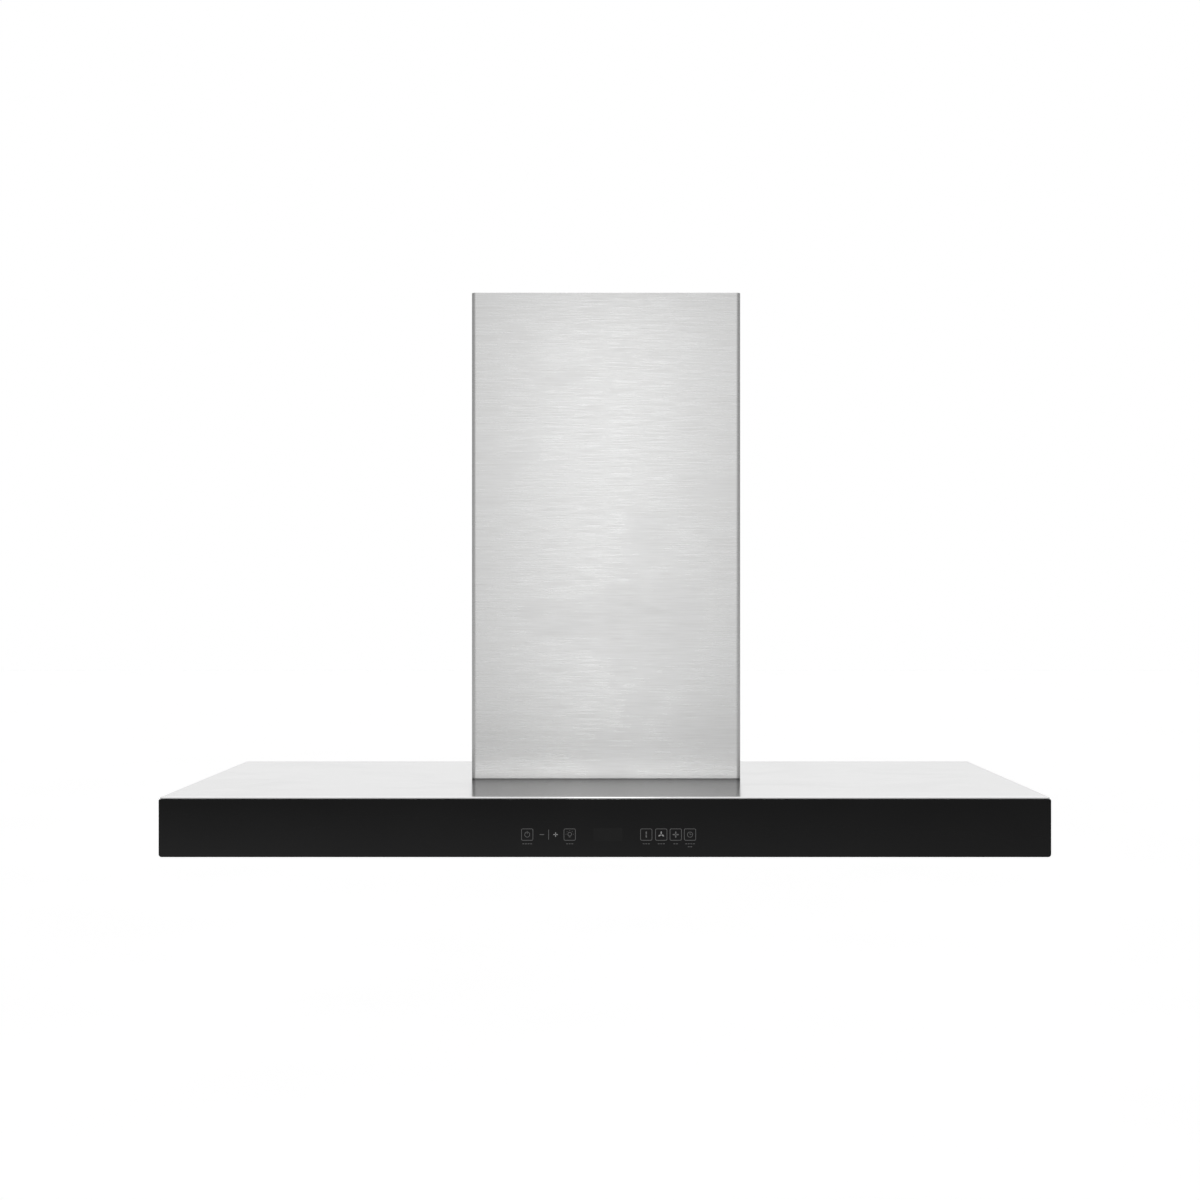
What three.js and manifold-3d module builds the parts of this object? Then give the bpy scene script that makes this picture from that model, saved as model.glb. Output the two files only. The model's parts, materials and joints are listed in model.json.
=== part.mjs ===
// A wall-mounted chimney range hood: a shallow steel canopy with a black glass front and touch controls, a
// chimney in two sliding covers, and inside it a motor box with a double-inlet blower and a duct collar.
// Units are millimetres. X runs to the right and Z up. Y runs back to the wall, whose face is the
// plane Y = 0. The origin is the middle of the canopy's rear face, which lies on the wall.
import * as THREE from "three";
import { mergeVertices } from "three/addons/utils/BufferGeometryUtils.js";
import Module from "manifold-3d";

const wasm = await Module();
wasm.setup();

// ---------- Driving dimensions ----------

const clearance = 0.3; // between pieces that touch

// Canopy
const canopyWidth = 900; // over the glass
const canopyDepth = 500; // wall to the face of the glass
const canopyHeight = 60;
const canopySheet = 1;
const canopySideInset = 1; // from the end of the glass in to the steel side
const canopyReturn = 12; // flange turned in round the underside
const hemDepth = 9; // folded front edge of the top, over the glass
const glassOverhang = 0.8; // of the glass below the canopy
const glassThickness = 4;
const glassTopCorner = 1.5;
const glassBottomCorner = 3;
const tapeWidth = 5;
const tapeThickness = 1;
const tapeMargin = 2;

// Underside
const panelSheet = 1;
const panelMargin = 4; // from the canopy's walls in to the edge of the bottom panel
const frontStrip = 96; // of the underside, in front of the filters
const rearStrip = 62;
const sideStrip = 42;
const filterCount = 3;
const filterGap = 2;
const filterThickness = 10;
const filterBorder = 18;
const filterFrameSheet = 1.2;
const latchBlock = 6; // solid metal of the frame beside the latch's pocket
const baffleWidth = 15;
const baffleGap = 9;
const baffleHeight = 3.6;
const baffleSheet = 0.8;
const tabLength = 7; // the filter's rear tabs, over the bottom panel
const tabWidth = 24;
const tabThickness = 2;
const latchWidth = 40;
const latchTravel = 4;
const latchLength = 9;
const latchThickness = 4;
const latchRidgeDepth = 3;
const latchRidgeHeight = 1.8;

// Lamps
const lampOffset = 300; // from the middle of the hood
const lampMargin = 1.4; // from the canopy's flange to the lamp's lip
const lampRadius = 29;
const lampLip = 4;
const lampLipSheet = 1.5;
const lampGlassRadius = 26;
const lampGlassThickness = 2;
const lampNeck = 8;
const lampBodyHeight = 15;

// Touch controls, behind the glass
const touchLength = 200;
const touchHeight = 30;
const touchRise = 22; // from the canopy's underside up to the middle of the controls
const touchShift = 3; // to the right of the middle
const carrierDepth = 12;
const carrierWall = 1.5;
const carrierFlange = 6;
const boardThickness = 1.6;
const displayWidth = 29;
const displayHeight = 13;
const displayDepth = 5.5;

// Control box, in the canopy's front strip
const controlWidth = 150;
const controlDepth = 60;
const controlHeight = 42;
const controlWall = 2;
const controlGap = 8; // behind the touch carrier
const controlBoardMargin = 4;
const controlBoardRise = 10;

// Chimney
const chimneyWidth = 300;
const chimneyDepth = 271;
const chimneyHeight = 542;
const chimneySheet = 1;
const chimneyBend = 5; // outer radius of the front corners
const chimneyReturn = 12; // flange turned in along the wall
const coverGap = 0.6; // between the two covers
const upperSetback = 2; // of the upper cover's top below the lower cover's
const upperTravel = 430;
const clipHeight = 25;
const clipLength = 40;
const clipFoot = 14;
const clipSheet = 1.5;
const screwHeadRadius = 4;
const screwHeadHeight = 1.6;
const screwRadius = 1.9;
const slotCount = 6; // louvres in each side of the upper cover
const slotLength = 90;
const slotHeight = 4;
const slotPitch = 12;
const slotDrop = 50;
const bracketHeight = 20;
const bracketEar = 36;
const bracketSheet = 1.5;
const bracketDrop = 3; // from the upper cover's top down to its bracket
const screwEnd = 4; // of the screw inside the clip

// Motor box and its hooks on the wall
const boxSideGap = 19; // from the upper cover in to the box
const boxFrontGap = 8;
const boxWallGap = 8;
const boxSheet = 1;
const boxFlange = 5;
const boxFlangeEnd = 20; // from the box's corners in to the flange's ends
const airHoleMargin = 5;
const hookOffset = 60;
const hookDrop = 26; // from the box's top down to its seat on the hooks
const hookWidth = 22;
const hookPlateRise = 18; // of the plate above the seat
const hookPlateDrop = 42; // of the plate below the seat
const hookPlateWidth = 36;
const hookSheet = 2.5;
const hookLip = 9;

// Blower
const scrollGap = 6; // between the scroll and the inside of the motor box
const scrollSheet = 1;
const scrollFloorGap = 5;
const scrollGrowth = 1.45; // widest scroll radius, as a multiple of the wheel's
const tongueGap = 6;
const tongueAngle = 30; // degrees from the top, towards the front
const outletRise = 25; // of the scroll's outlet above the wheel
const wheelHalfWidth = 62;
const wheelSideGap = 5;
const wheelDisc = 1.5;
const wheelRing = 2;
const bladeCount = 26;
const bladeDepth = 15;
const bladeThickness = 1.2;
const bladeBow = 2.6;
const inletShare = 0.74; // inlet radius, as a share of the wheel's
const inletFlare = 14;
const inletSheet = 1.5;
const motorRadius = 44;
const motorLength = 78;
const shaftRadius = 4;
const bearingRadius = 11;
const bearingWidth = 7;
const hubRadius = 12;
const hubLength = 16;
const nutRadius = 8;
const nutHeight = 6;
const shaftStub = 8; // past the motor's outer end
const motorShoulder = 6;
const legWidth = 14;
const legSheet = 2;
const legPlateRadius = 30;
const capacitorRadius = 15;
const capacitorHeight = 60;
const capacitorRise = 40;

// Duct collar and its dampers
const collarRadius = 74.5; // outside, for a duct of 150
const collarSheet = 1.5;
const collarHeight = 60;
const collarFlange = 12;
const stopWidth = 4; // ledge on which the closed flaps rest
const pinRadius = 2;
const pinRise = 14;
const flapGap = 1.5;
const flapThickness = 1;
const flapDrop = 2.6; // from the pin's centre down to the top of a flap
const knuckleRadius = 4;
const knuckleLength = 18;
const frontKnuckleX = 30; // from the middle of the pin out to the knuckle
const rearKnuckleX = 4;

// Electric leads
const leadRadius = 3;
const lampLeadRadius = 2.2;
const terminalWidth = 42;
const terminalDepth = 46;
const terminalHeight = 24;
const terminalWall = 2;
const terminalSideMargin = 4; // from the motor box's side in to the terminal box
const terminalFrontMargin = 6;
const supplyInset = 14; // from the terminal box's corner in to the lead
const glandRadius = 9;
const glandBore = 4;
const glandHeight = 16;
const glandNutHeight = 6;

// ---------- Planes worked out from them ----------

const canopyTop = canopyHeight / 2;
const canopyBottom = -canopyHeight / 2;
const shellHalf = canopyWidth / 2 - canopySideInset;
const glassFront = -canopyDepth;
const glassBack = glassFront + glassThickness;
const glassTop = canopyTop - 2 * canopySheet - clearance;
const glassBottom = canopyBottom - glassOverhang;
const frontWall = glassBack + 2 * clearance + tapeThickness; // outer face of the steel behind the glass
const panelBottom = canopyBottom + canopySheet + clearance;
const panelTop = panelBottom + panelSheet;
const touchZMiddle = canopyBottom + touchRise;

const coverFoot = canopyTop + clearance;
const coverTop = coverFoot + chimneyHeight;
const upperHalf = chimneyWidth / 2 - chimneySheet - coverGap;
const upperFront = -chimneyDepth + chimneySheet + coverGap;
const upperBack = -chimneySheet - coverGap;
const upperFoot = coverFoot + clipHeight + clearance;
const upperTop = coverTop - upperSetback;

const boxHalf = upperHalf - chimneySheet - boxSideGap;
const boxFront = upperFront + chimneySheet + boxFrontGap;
const boxBack = -boxWallGap;
const boxFoot = canopyTop + clearance;

// The scroll's radius grows evenly from the tongue round the front and the bottom to the rear, a turn of 240
// degrees, a quarter of which is past at the front. The box's depth holds the front and the rear radius.
const boxDepthInside = boxBack - boxFront - 2 * boxSheet;
const scrollTurn = 270 - tongueAngle;
const frontShare = (90 - tongueAngle) / scrollTurn;
const wheelRadius =
  (boxDepthInside - 2 * scrollGap - 2 * scrollSheet - (1 - frontShare) * tongueGap) /
  (1 + frontShare * (scrollGrowth - 1) + scrollGrowth);
const scrollStart = wheelRadius + tongueGap;
const scrollEnd = wheelRadius * scrollGrowth;
const scrollRadius = (degrees) =>
  scrollStart + ((scrollEnd - scrollStart) * (degrees - tongueAngle)) / scrollTurn;
const axleY = boxFront + boxSheet + scrollGap + scrollSheet + scrollRadius(90);
const axleZ = boxFoot + boxSheet + scrollFloorGap + scrollSheet + scrollRadius(180);
const outletTop = axleZ + wheelRadius + outletRise;
const scrollHalf = wheelHalfWidth + wheelSideGap;
const boxTop = outletTop + clearance + boxSheet;
const outletBack = axleY + scrollEnd;
const outletFront = axleY - scrollStart * Math.sin(THREE.MathUtils.degToRad(tongueAngle));
const collarY = (outletFront + outletBack) / 2;
const collarFoot = boxTop + clearance;
const pinZ = collarFoot + pinRise;
const motorInner = wheelDisc / 2 + nutHeight + 2 * clearance; // the motor's face towards the wheel's disc
const motorOuter = motorInner + motorLength;
const inletRadius = wheelRadius * inletShare;

// ---------- Finishes ----------

const brushedSteel = { color: 0xc4c5c3, roughness: 0.34, metalness: 1 };
const polishedSteel = { color: 0xd6d7d7, roughness: 0.16, metalness: 1 };
const zincSteel = { color: 0xa9adb0, roughness: 0.45, metalness: 1 };
const turnedSteel = { color: 0xb5b7b9, roughness: 0.25, metalness: 1 };
const blackGlass = { color: 0x0d0d0e, roughness: 0.06, metalness: 0 };
const lampGlass = { color: 0xe9ecea, roughness: 0.5, metalness: 0 };
const castAluminium = { color: 0x9fa3a6, roughness: 0.5, metalness: 1 };
const blackPlastic = { color: 0x1b1c1d, roughness: 0.55, metalness: 0 };
const greyPlastic = { color: 0x8d9092, roughness: 0.55, metalness: 0 };
const whitePlastic = { color: 0xe4e3dd, roughness: 0.5, metalness: 0 };
const circuitBoard = { color: 0x1f5a35, roughness: 0.5, metalness: 0 };
const tapeFoam = { color: 0x2a2a2a, roughness: 0.9, metalness: 0 };
const leadPvc = { color: 0xd9d8d2, roughness: 0.6, metalness: 0 };

// ---------- Solids ----------

// A closed three.js geometry as a solid that can be cut and joined.
function solidOf(geometry) {
  const bare = geometry.clone();
  bare.deleteAttribute("normal");
  bare.deleteAttribute("uv");
  const merged = mergeVertices(bare);
  const vertProperties = new Float32Array(merged.attributes.position.array);
  const triVerts = new Uint32Array(merged.index.array);
  return new wasm.Manifold(new wasm.Mesh({ numProp: 3, vertProperties, triVerts }));
}

function joined(solids) {
  return solids.reduce((whole, next) => whole.add(next));
}

function cut(body, ...tools) {
  return tools.reduce((rest, tool) => rest.subtract(tool), body);
}

function block([x0, x1], [y0, y1], [z0, z1]) {
  const geometry = new THREE.BoxGeometry(x1 - x0, y1 - y0, z1 - z0);
  geometry.translate((x0 + x1) / 2, (y0 + y1) / 2, (z0 + z1) / 2);
  return solidOf(geometry);
}

// The stretch from a to b on the given side of the middle: side is 1 for right and -1 for left.
function sideways(side, a, b) {
  return side > 0 ? [a, b] : [-b, -a];
}

// Turns a solid made round or along Z so that it lies along another axis.
const alongAxis = {
  x: new THREE.Matrix4().makeBasis(
    new THREE.Vector3(0, 1, 0),
    new THREE.Vector3(0, 0, 1),
    new THREE.Vector3(1, 0, 0),
  ),
  y: new THREE.Matrix4().makeBasis(
    new THREE.Vector3(0, 0, 1),
    new THREE.Vector3(1, 0, 0),
    new THREE.Vector3(0, 1, 0),
  ),
  z: new THREE.Matrix4(),
};

// An outline pushed from one height to another along an axis. Along x it is drawn in (Y, Z), along y in
// (Z, X) and along z in (X, Y).
function prism(axis, outline, [from, to], curveSegments = 3) {
  const depth = to - from;
  const geometry = new THREE.ExtrudeGeometry(outline, { depth, bevelEnabled: false, curveSegments });
  geometry.translate(0, 0, from);
  geometry.applyMatrix4(alongAxis[axis]);
  return solidOf(geometry);
}

function rod(axis, radius, [from, to], centre, segments = 24) {
  const geometry = new THREE.CylinderGeometry(radius, radius, to - from, segments);
  geometry.rotateX(Math.PI / 2);
  geometry.translate(0, 0, (from + to) / 2);
  geometry.applyMatrix4(alongAxis[axis]);
  geometry.translate(...centre);
  return solidOf(geometry);
}

// A profile of [radius, height] points turned round an axis. It closes on itself or ends on the axis.
function turned(axis, profile, centre, segments = 32) {
  const points = profile.map(([radius, height]) => new THREE.Vector2(radius, height));
  const onAxis = profile[0][0] === 0 && profile.at(-1)[0] === 0;
  if (!onAxis) points.push(points[0].clone());
  const geometry = new THREE.LatheGeometry(points, segments);
  geometry.rotateX(Math.PI / 2);
  geometry.applyMatrix4(alongAxis[axis]);
  geometry.translate(...centre);
  return solidOf(geometry);
}

// A round lead through the given points.
function lead(radius, points, steps) {
  const places = points.map((point) => new THREE.Vector3(...point));
  const curve = new THREE.CatmullRomCurve3(places, false, "centripetal");
  const section = new THREE.Shape().absarc(0, 0, radius, 0, 2 * Math.PI, false);
  return solidOf(new THREE.ExtrudeGeometry(section, { steps, extrudePath: curve, curveSegments: 4 }));
}

// ---------- The hood ----------

const hood = new THREE.Group();
hood.name = "chimney_range_hood";

function addPiece(name, solid, finish) {
  const { vertProperties, triVerts } = solid.getMesh();
  const geometry = new THREE.BufferGeometry();
  geometry.setAttribute("position", new THREE.BufferAttribute(vertProperties, 3));
  geometry.setIndex(new THREE.BufferAttribute(triVerts, 1));
  geometry.computeVertexNormals();
  const mesh = new THREE.Mesh(geometry, new THREE.MeshStandardMaterial(finish));
  mesh.name = name;
  hood.add(mesh);
}

const sides = [
  ["left", -1],
  ["right", 1],
];

// ---------- Canopy ----------

// Opening in the canopy's top, through which the air rises into the motor box.
const airHoleX = [-boxHalf + airHoleMargin, boxHalf - airHoleMargin];
const airHoleY = [boxFront + airHoleMargin, boxBack - airHoleMargin];

// Window in the steel behind the glass, for the touch controls.
const touchX = [touchShift - touchLength / 2, touchShift + touchLength / 2];
const touchZ = [touchZMiddle - touchHeight / 2, touchZMiddle + touchHeight / 2];

function canopyShell() {
  const inner = [canopyBottom + canopySheet, canopyTop - canopySheet];
  const tray = cut(
    block([-shellHalf, shellHalf], [frontWall, 0], [canopyBottom, canopyTop]),
    block(
      [-shellHalf + canopySheet, shellHalf - canopySheet],
      [frontWall + canopySheet, -canopySheet],
      inner,
    ),
    block(
      [-shellHalf + canopyReturn, shellHalf - canopyReturn],
      [frontWall + canopyReturn, -canopyReturn],
      [canopyBottom - 1, canopyTop - canopySheet],
    ),
  );
  const lip = block(
    [-shellHalf, shellHalf],
    [glassFront, frontWall + 1],
    [canopyTop - canopySheet, canopyTop],
  );
  const hem = block(
    [-shellHalf, shellHalf],
    [glassFront, glassFront + hemDepth],
    [canopyTop - 2 * canopySheet, canopyTop],
  );
  const airHole = block(airHoleX, airHoleY, [0, canopyTop + 1]);
  const window = block(
    [touchX[0] - clearance, touchX[1] + clearance],
    [frontWall - 1, frontWall + canopySheet + 1],
    [touchZ[0] - clearance, touchZ[1] + clearance],
  );
  return cut(joined([tray, lip, hem]), airHole, window);
}
addPiece("canopy_shell", canopyShell(), brushedSteel);

function frontGlass() {
  const half = canopyWidth / 2;
  const outline = new THREE.Shape();
  outline.moveTo(glassBottom + glassBottomCorner, -half);
  outline.lineTo(glassTop - glassTopCorner, -half);
  outline.absarc(glassTop - glassTopCorner, -half + glassTopCorner, glassTopCorner, -Math.PI / 2, 0, false);
  outline.lineTo(glassTop, half - glassTopCorner);
  outline.absarc(glassTop - glassTopCorner, half - glassTopCorner, glassTopCorner, 0, Math.PI / 2, false);
  outline.lineTo(glassBottom + glassBottomCorner, half);
  outline.absarc(
    glassBottom + glassBottomCorner,
    half - glassBottomCorner,
    glassBottomCorner,
    Math.PI / 2,
    Math.PI,
    false,
  );
  outline.lineTo(glassBottom, -half + glassBottomCorner);
  outline.absarc(
    glassBottom + glassBottomCorner,
    -half + glassBottomCorner,
    glassBottomCorner,
    Math.PI,
    1.5 * Math.PI,
    false,
  );
  return prism("y", outline, [glassFront, glassBack]);
}
addPiece("front_glass", frontGlass(), blackGlass);

function glassTape(z0) {
  const half = shellHalf - tapeMargin;
  const y0 = glassBack + clearance;
  return block([-half, half], [y0, y0 + tapeThickness], [z0, z0 + tapeWidth]);
}
addPiece("glass_tape_upper", glassTape(canopyTop - 2 * canopySheet - tapeMargin - tapeWidth), tapeFoam);
addPiece("glass_tape_lower", glassTape(canopyBottom + clearance), tapeFoam);

// ---------- Touch controls ----------

const carrierFront = frontWall + canopySheet + clearance;
const boardFront = glassBack + clearance + displayDepth + clearance;
const carrierBack = boardFront + carrierDepth;

// A tray behind the steel, with a flange that lies on it, open towards the glass.
function touchCarrier() {
  const flange = block(
    [touchX[0] - carrierFlange, touchX[1] + carrierFlange],
    [carrierFront, carrierFront + carrierWall],
    [Math.max(touchZ[0] - carrierFlange, panelTop + clearance), touchZ[1] + carrierFlange],
  );
  const tray = block(touchX, [carrierFront, carrierBack], touchZ);
  const hollow = block(
    [touchX[0] + carrierWall, touchX[1] - carrierWall],
    [carrierFront - 1, carrierBack - carrierWall],
    [touchZ[0] + carrierWall, touchZ[1] - carrierWall],
  );
  return cut(joined([flange, tray]), hollow);
}
addPiece("touch_carrier", touchCarrier(), blackPlastic);

const boardInset = carrierWall + clearance;
addPiece(
  "touch_board",
  block(
    [touchX[0] + boardInset, touchX[1] - boardInset],
    [boardFront, boardFront + boardThickness],
    [touchZ[0] + boardInset, touchZ[1] - boardInset],
  ),
  circuitBoard,
);
addPiece(
  "display_module",
  block(
    [touchShift - displayWidth / 2, touchShift + displayWidth / 2],
    [glassBack + clearance, boardFront - clearance],
    [touchZMiddle - displayHeight / 2, touchZMiddle + displayHeight / 2],
  ),
  blackPlastic,
);

// ---------- Control box ----------

const controlX = [-controlWidth / 2, controlWidth / 2];
const controlY = [carrierBack + controlGap, carrierBack + controlGap + controlDepth];
const controlZ = [canopyTop - canopySheet - clearance - controlHeight, canopyTop - canopySheet - clearance];
const inset = ([from, to], wall) => [from + wall, to - wall];

addPiece(
  "control_box",
  cut(
    block(controlX, controlY, controlZ),
    block(
      inset(controlX, controlWall),
      inset(controlY, controlWall),
      [controlZ[0] - 1, controlZ[1] - controlWall],
    ),
  ),
  greyPlastic,
);
addPiece(
  "control_box_lid",
  block(controlX, controlY, [controlZ[0] - clearance - controlWall, controlZ[0] - clearance]),
  greyPlastic,
);
addPiece(
  "control_board",
  block(
    inset(controlX, controlWall + controlBoardMargin),
    inset(controlY, controlWall + controlBoardMargin),
    [controlZ[0] + controlBoardRise, controlZ[0] + controlBoardRise + boardThickness],
  ),
  circuitBoard,
);

// ---------- Bottom panel ----------

const openingX = [-shellHalf + sideStrip, shellHalf - sideStrip];
const openingY = [glassFront + frontStrip, -rearStrip];
const lampY = frontWall + canopyReturn + lampMargin + lampLip + lampRadius;

function bottomPanel() {
  const sheet = block(
    inset([-shellHalf, shellHalf], panelMargin),
    [frontWall + panelMargin, -panelMargin],
    [panelBottom, panelTop],
  );
  const filterOpening = block(openingX, openingY, [panelBottom - 1, panelTop + 1]);
  const lampHoles = sides.map(([, side]) =>
    rod("z", lampRadius + clearance, [panelBottom - 1, panelTop + 1], [side * lampOffset, lampY, 0]),
  );
  return cut(sheet, filterOpening, ...lampHoles);
}
addPiece("bottom_panel", bottomPanel(), brushedSteel);

// ---------- Lamps ----------

for (const [sideName, side] of sides) {
  const centre = [side * lampOffset, lampY, 0];
  const lipBottom = panelBottom - clearance - lampLipSheet;
  const bezel = [
    [lampGlassRadius, lipBottom],
    [lampRadius + lampLip, lipBottom],
    [lampRadius + lampLip, panelBottom - clearance],
    [lampRadius, panelBottom - clearance],
    [lampRadius, panelTop + lampNeck],
    [lampGlassRadius, panelTop + lampNeck],
  ];
  const lensZ = [lipBottom + clearance, lipBottom + clearance + lampGlassThickness];
  const bodyFoot = panelTop + lampNeck + clearance;
  addPiece(`lamp_${sideName}_bezel`, turned("z", bezel, centre, 24), polishedSteel);
  addPiece(`lamp_${sideName}_lens`, rod("z", lampGlassRadius - clearance, lensZ, centre), lampGlass);
  addPiece(
    `lamp_${sideName}_body`,
    rod("z", lampRadius, [bodyFoot, bodyFoot + lampBodyHeight], centre),
    castAluminium,
  );
}

// ---------- Filters ----------

const filterWidth =
  (openingX[1] - openingX[0] - 2 * filterGap - (filterCount - 1) * filterGap) / filterCount;
const filterY = [openingY[0] + filterGap, openingY[1] - filterGap];
const filterZ = [panelBottom, panelBottom + filterThickness];

// A channel running front to back, open upwards or downwards.
function baffle(centreX, z0, opensUp) {
  const half = baffleWidth / 2;
  const ends = [filterY[0] + filterBorder - 1, filterY[1] - filterBorder + 1];
  const channel = block([centreX - half, centreX + half], ends, [z0, z0 + baffleHeight]);
  const hollow = block(
    [centreX - half + baffleSheet, centreX + half - baffleSheet],
    [ends[0] - 1, ends[1] + 1],
    opensUp ? [z0 + baffleSheet, z0 + baffleHeight + 1] : [z0 - 1, z0 + baffleHeight - baffleSheet],
  );
  return cut(channel, hollow);
}

// A frame folded from sheet, with two layers of channels. The upper ones hide the gaps of the lower ones.
function baffleFilter(x0) {
  const x1 = x0 + filterWidth;
  const middle = (x0 + x1) / 2;
  const frameX = [x0, x1];
  const latchReach = latchWidth / 2 + latchBlock;
  const groove = cut(
    block(
      inset(frameX, filterFrameSheet),
      inset(filterY, filterFrameSheet),
      [filterZ[0] + filterFrameSheet, filterZ[1] + 1],
    ),
    block(
      inset(frameX, filterBorder - filterFrameSheet),
      inset(filterY, filterBorder - filterFrameSheet),
      [filterZ[0], filterZ[1] + 2],
    ),
    block(
      [middle - latchReach, middle + latchReach],
      [filterY[0], filterY[0] + filterBorder],
      [filterZ[0], filterZ[1] + 2],
    ),
  );
  const frame = cut(
    block(frameX, filterY, filterZ),
    block(inset(frameX, filterBorder), inset(filterY, filterBorder), [filterZ[0] - 1, filterZ[1] + 1]),
    groove,
  );
  const pitch = baffleWidth + baffleGap;
  const innerWidth = filterWidth - 2 * filterBorder;
  const upperCount = Math.floor((innerWidth + baffleGap) / pitch);
  const lowerZ = filterZ[0] + 1;
  const upperZ = filterZ[1] - 1 - baffleHeight;
  const row = (count, z0, opensUp) =>
    Array.from({ length: count }, (_, i) => baffle(middle + (i - (count - 1) / 2) * pitch, z0, opensUp));
  const lower = row(upperCount - 1, lowerZ, true);
  const upper = row(upperCount, upperZ, false);
  const tabs = [-1, 1].map((side) =>
    block(
      [middle + (side * filterWidth) / 4 - tabWidth / 2, middle + (side * filterWidth) / 4 + tabWidth / 2],
      [filterY[1] - 1, openingY[1] + tabLength],
      [panelTop + clearance, panelTop + clearance + tabThickness],
    ),
  );
  const latchPocket = block(
    [middle - latchWidth / 2 - clearance, middle + latchWidth / 2 + clearance],
    [filterY[0] - 1, filterY[0] + latchLength + latchTravel + clearance],
    [filterZ[0] - 1, filterZ[0] + latchThickness + clearance],
  );
  return cut(joined([frame, ...lower, ...upper, ...tabs]), latchPocket);
}

// A sliding bolt with a ridge for a finger.
function filterLatch(middle) {
  const ridgeFront = filterY[0] + (latchLength - latchRidgeDepth) / 3;
  const bolt = block(
    [middle - latchWidth / 2, middle + latchWidth / 2],
    [filterY[0], filterY[0] + latchLength],
    [filterZ[0], filterZ[0] + latchThickness],
  );
  const ridge = block(
    [middle - latchWidth / 4, middle + latchWidth / 4],
    [ridgeFront, ridgeFront + latchRidgeDepth],
    [filterZ[0] - latchRidgeHeight, filterZ[0] + 1],
  );
  return joined([bolt, ridge]);
}

for (let i = 0; i < filterCount; i += 1) {
  const name = filterCount === 3 ? ["left", "middle", "right"][i] : String(i + 1);
  const x0 = openingX[0] + filterGap + i * (filterWidth + filterGap);
  addPiece(`filter_${name}`, baffleFilter(x0), brushedSteel);
  addPiece(`filter_${name}_latch`, filterLatch(x0 + filterWidth / 2), blackPlastic);
}

// ---------- Chimney ----------

// Section of a cover that is open to the wall: a front, two bent corners, two sides and two inner flanges.
function coverSection(half, front, back, bend, flange) {
  const sheet = chimneySheet;
  const section = new THREE.Shape();
  section.moveTo(-half + flange, back);
  section.lineTo(-half, back);
  section.lineTo(-half, front + bend);
  section.absarc(-half + bend, front + bend, bend, Math.PI, 1.5 * Math.PI, false);
  section.lineTo(half - bend, front);
  section.absarc(half - bend, front + bend, bend, -Math.PI / 2, 0, false);
  section.lineTo(half, back);
  section.lineTo(half - flange, back);
  section.lineTo(half - flange, back - sheet);
  section.lineTo(half - sheet, back - sheet);
  section.lineTo(half - sheet, front + bend);
  section.absarc(half - bend, front + bend, bend - sheet, 0, -Math.PI / 2, true);
  section.lineTo(-half + bend, front + sheet);
  section.absarc(-half + bend, front + bend, bend - sheet, 1.5 * Math.PI, Math.PI, true);
  section.lineTo(-half + sheet, back - sheet);
  section.lineTo(-half + flange, back - sheet);
  return section;
}

const clipY = [-chimneyDepth / 2 - clipLength / 2, -chimneyDepth / 2 + clipLength / 2];
const screwY = -chimneyDepth / 2;
const screwZ = coverFoot + clipHeight / 2;

function lowerChimney() {
  const section = coverSection(chimneyWidth / 2, -chimneyDepth, 0, chimneyBend, chimneyReturn);
  const cover = prism("z", section, [coverFoot, coverTop]);
  const screwHoles = sides.map(([, side]) =>
    rod(
      "x",
      screwRadius + clearance,
      sideways(side, chimneyWidth / 2 - chimneySheet - 1, chimneyWidth / 2 + 1),
      [0, screwY, screwZ],
      12,
    ),
  );
  return cut(cover, ...screwHoles);
}
addPiece("lower_chimney", lowerChimney(), brushedSteel);

function upperChimney() {
  const bend = chimneyBend - chimneySheet - coverGap;
  const section = coverSection(upperHalf, upperFront, upperBack, bend, chimneyReturn);
  const cover = prism("z", section, [upperFoot, upperTop]);
  const slots = Array.from({ length: slotCount }, (_, i) => {
    const z1 = upperTop - slotDrop - i * slotPitch;
    return block(
      [-upperHalf - 1, upperHalf + 1],
      [-chimneyDepth / 2 - slotLength / 2, -chimneyDepth / 2 + slotLength / 2],
      [z1 - slotHeight, z1],
    );
  });
  return cut(cover, ...slots);
}
addPiece("upper_chimney", upperChimney(), brushedSteel);

// A plate along the wall with an ear on each side of the upper cover.
function coverBracket() {
  const half = upperHalf - chimneySheet - clearance;
  const back = upperBack - chimneySheet - clearance;
  const z = [upperTop - bracketDrop - bracketHeight, upperTop - bracketDrop];
  return joined([
    block([-half, half], [back - bracketSheet, back], z),
    ...sides.map(([, side]) =>
      block(sideways(side, half - bracketSheet, half), [back - bracketEar, back], z),
    ),
  ]);
}
addPiece("cover_bracket", coverBracket(), zincSteel);

for (const [sideName, side] of sides) {
  const outer = chimneyWidth / 2 - chimneySheet - clearance;
  const clip = joined([
    block(sideways(side, outer - clipFoot, outer), clipY, [coverFoot, coverFoot + clipSheet]),
    block(sideways(side, outer - clipSheet, outer), clipY, [coverFoot, coverFoot + clipHeight]),
  ]);
  const hole = rod(
    "x",
    screwRadius + clearance,
    sideways(side, outer - clipSheet - 1, outer + 1),
    [0, screwY, screwZ],
    12,
  );
  addPiece(`chimney_clip_${sideName}`, cut(clip, hole), zincSteel);
  const headFoot = chimneyWidth / 2 + clearance;
  const head = sideways(side, headFoot, headFoot + screwHeadHeight);
  const shank = sideways(side, outer - clipSheet - screwEnd, headFoot + 1);
  const screw = joined([
    rod("x", screwHeadRadius, head, [0, screwY, screwZ], 16),
    rod("x", screwRadius, shank, [0, screwY, screwZ], 12),
  ]);
  addPiece(`chimney_screw_${sideName}`, screw, polishedSteel);
}

// ---------- Motor box ----------

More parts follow.
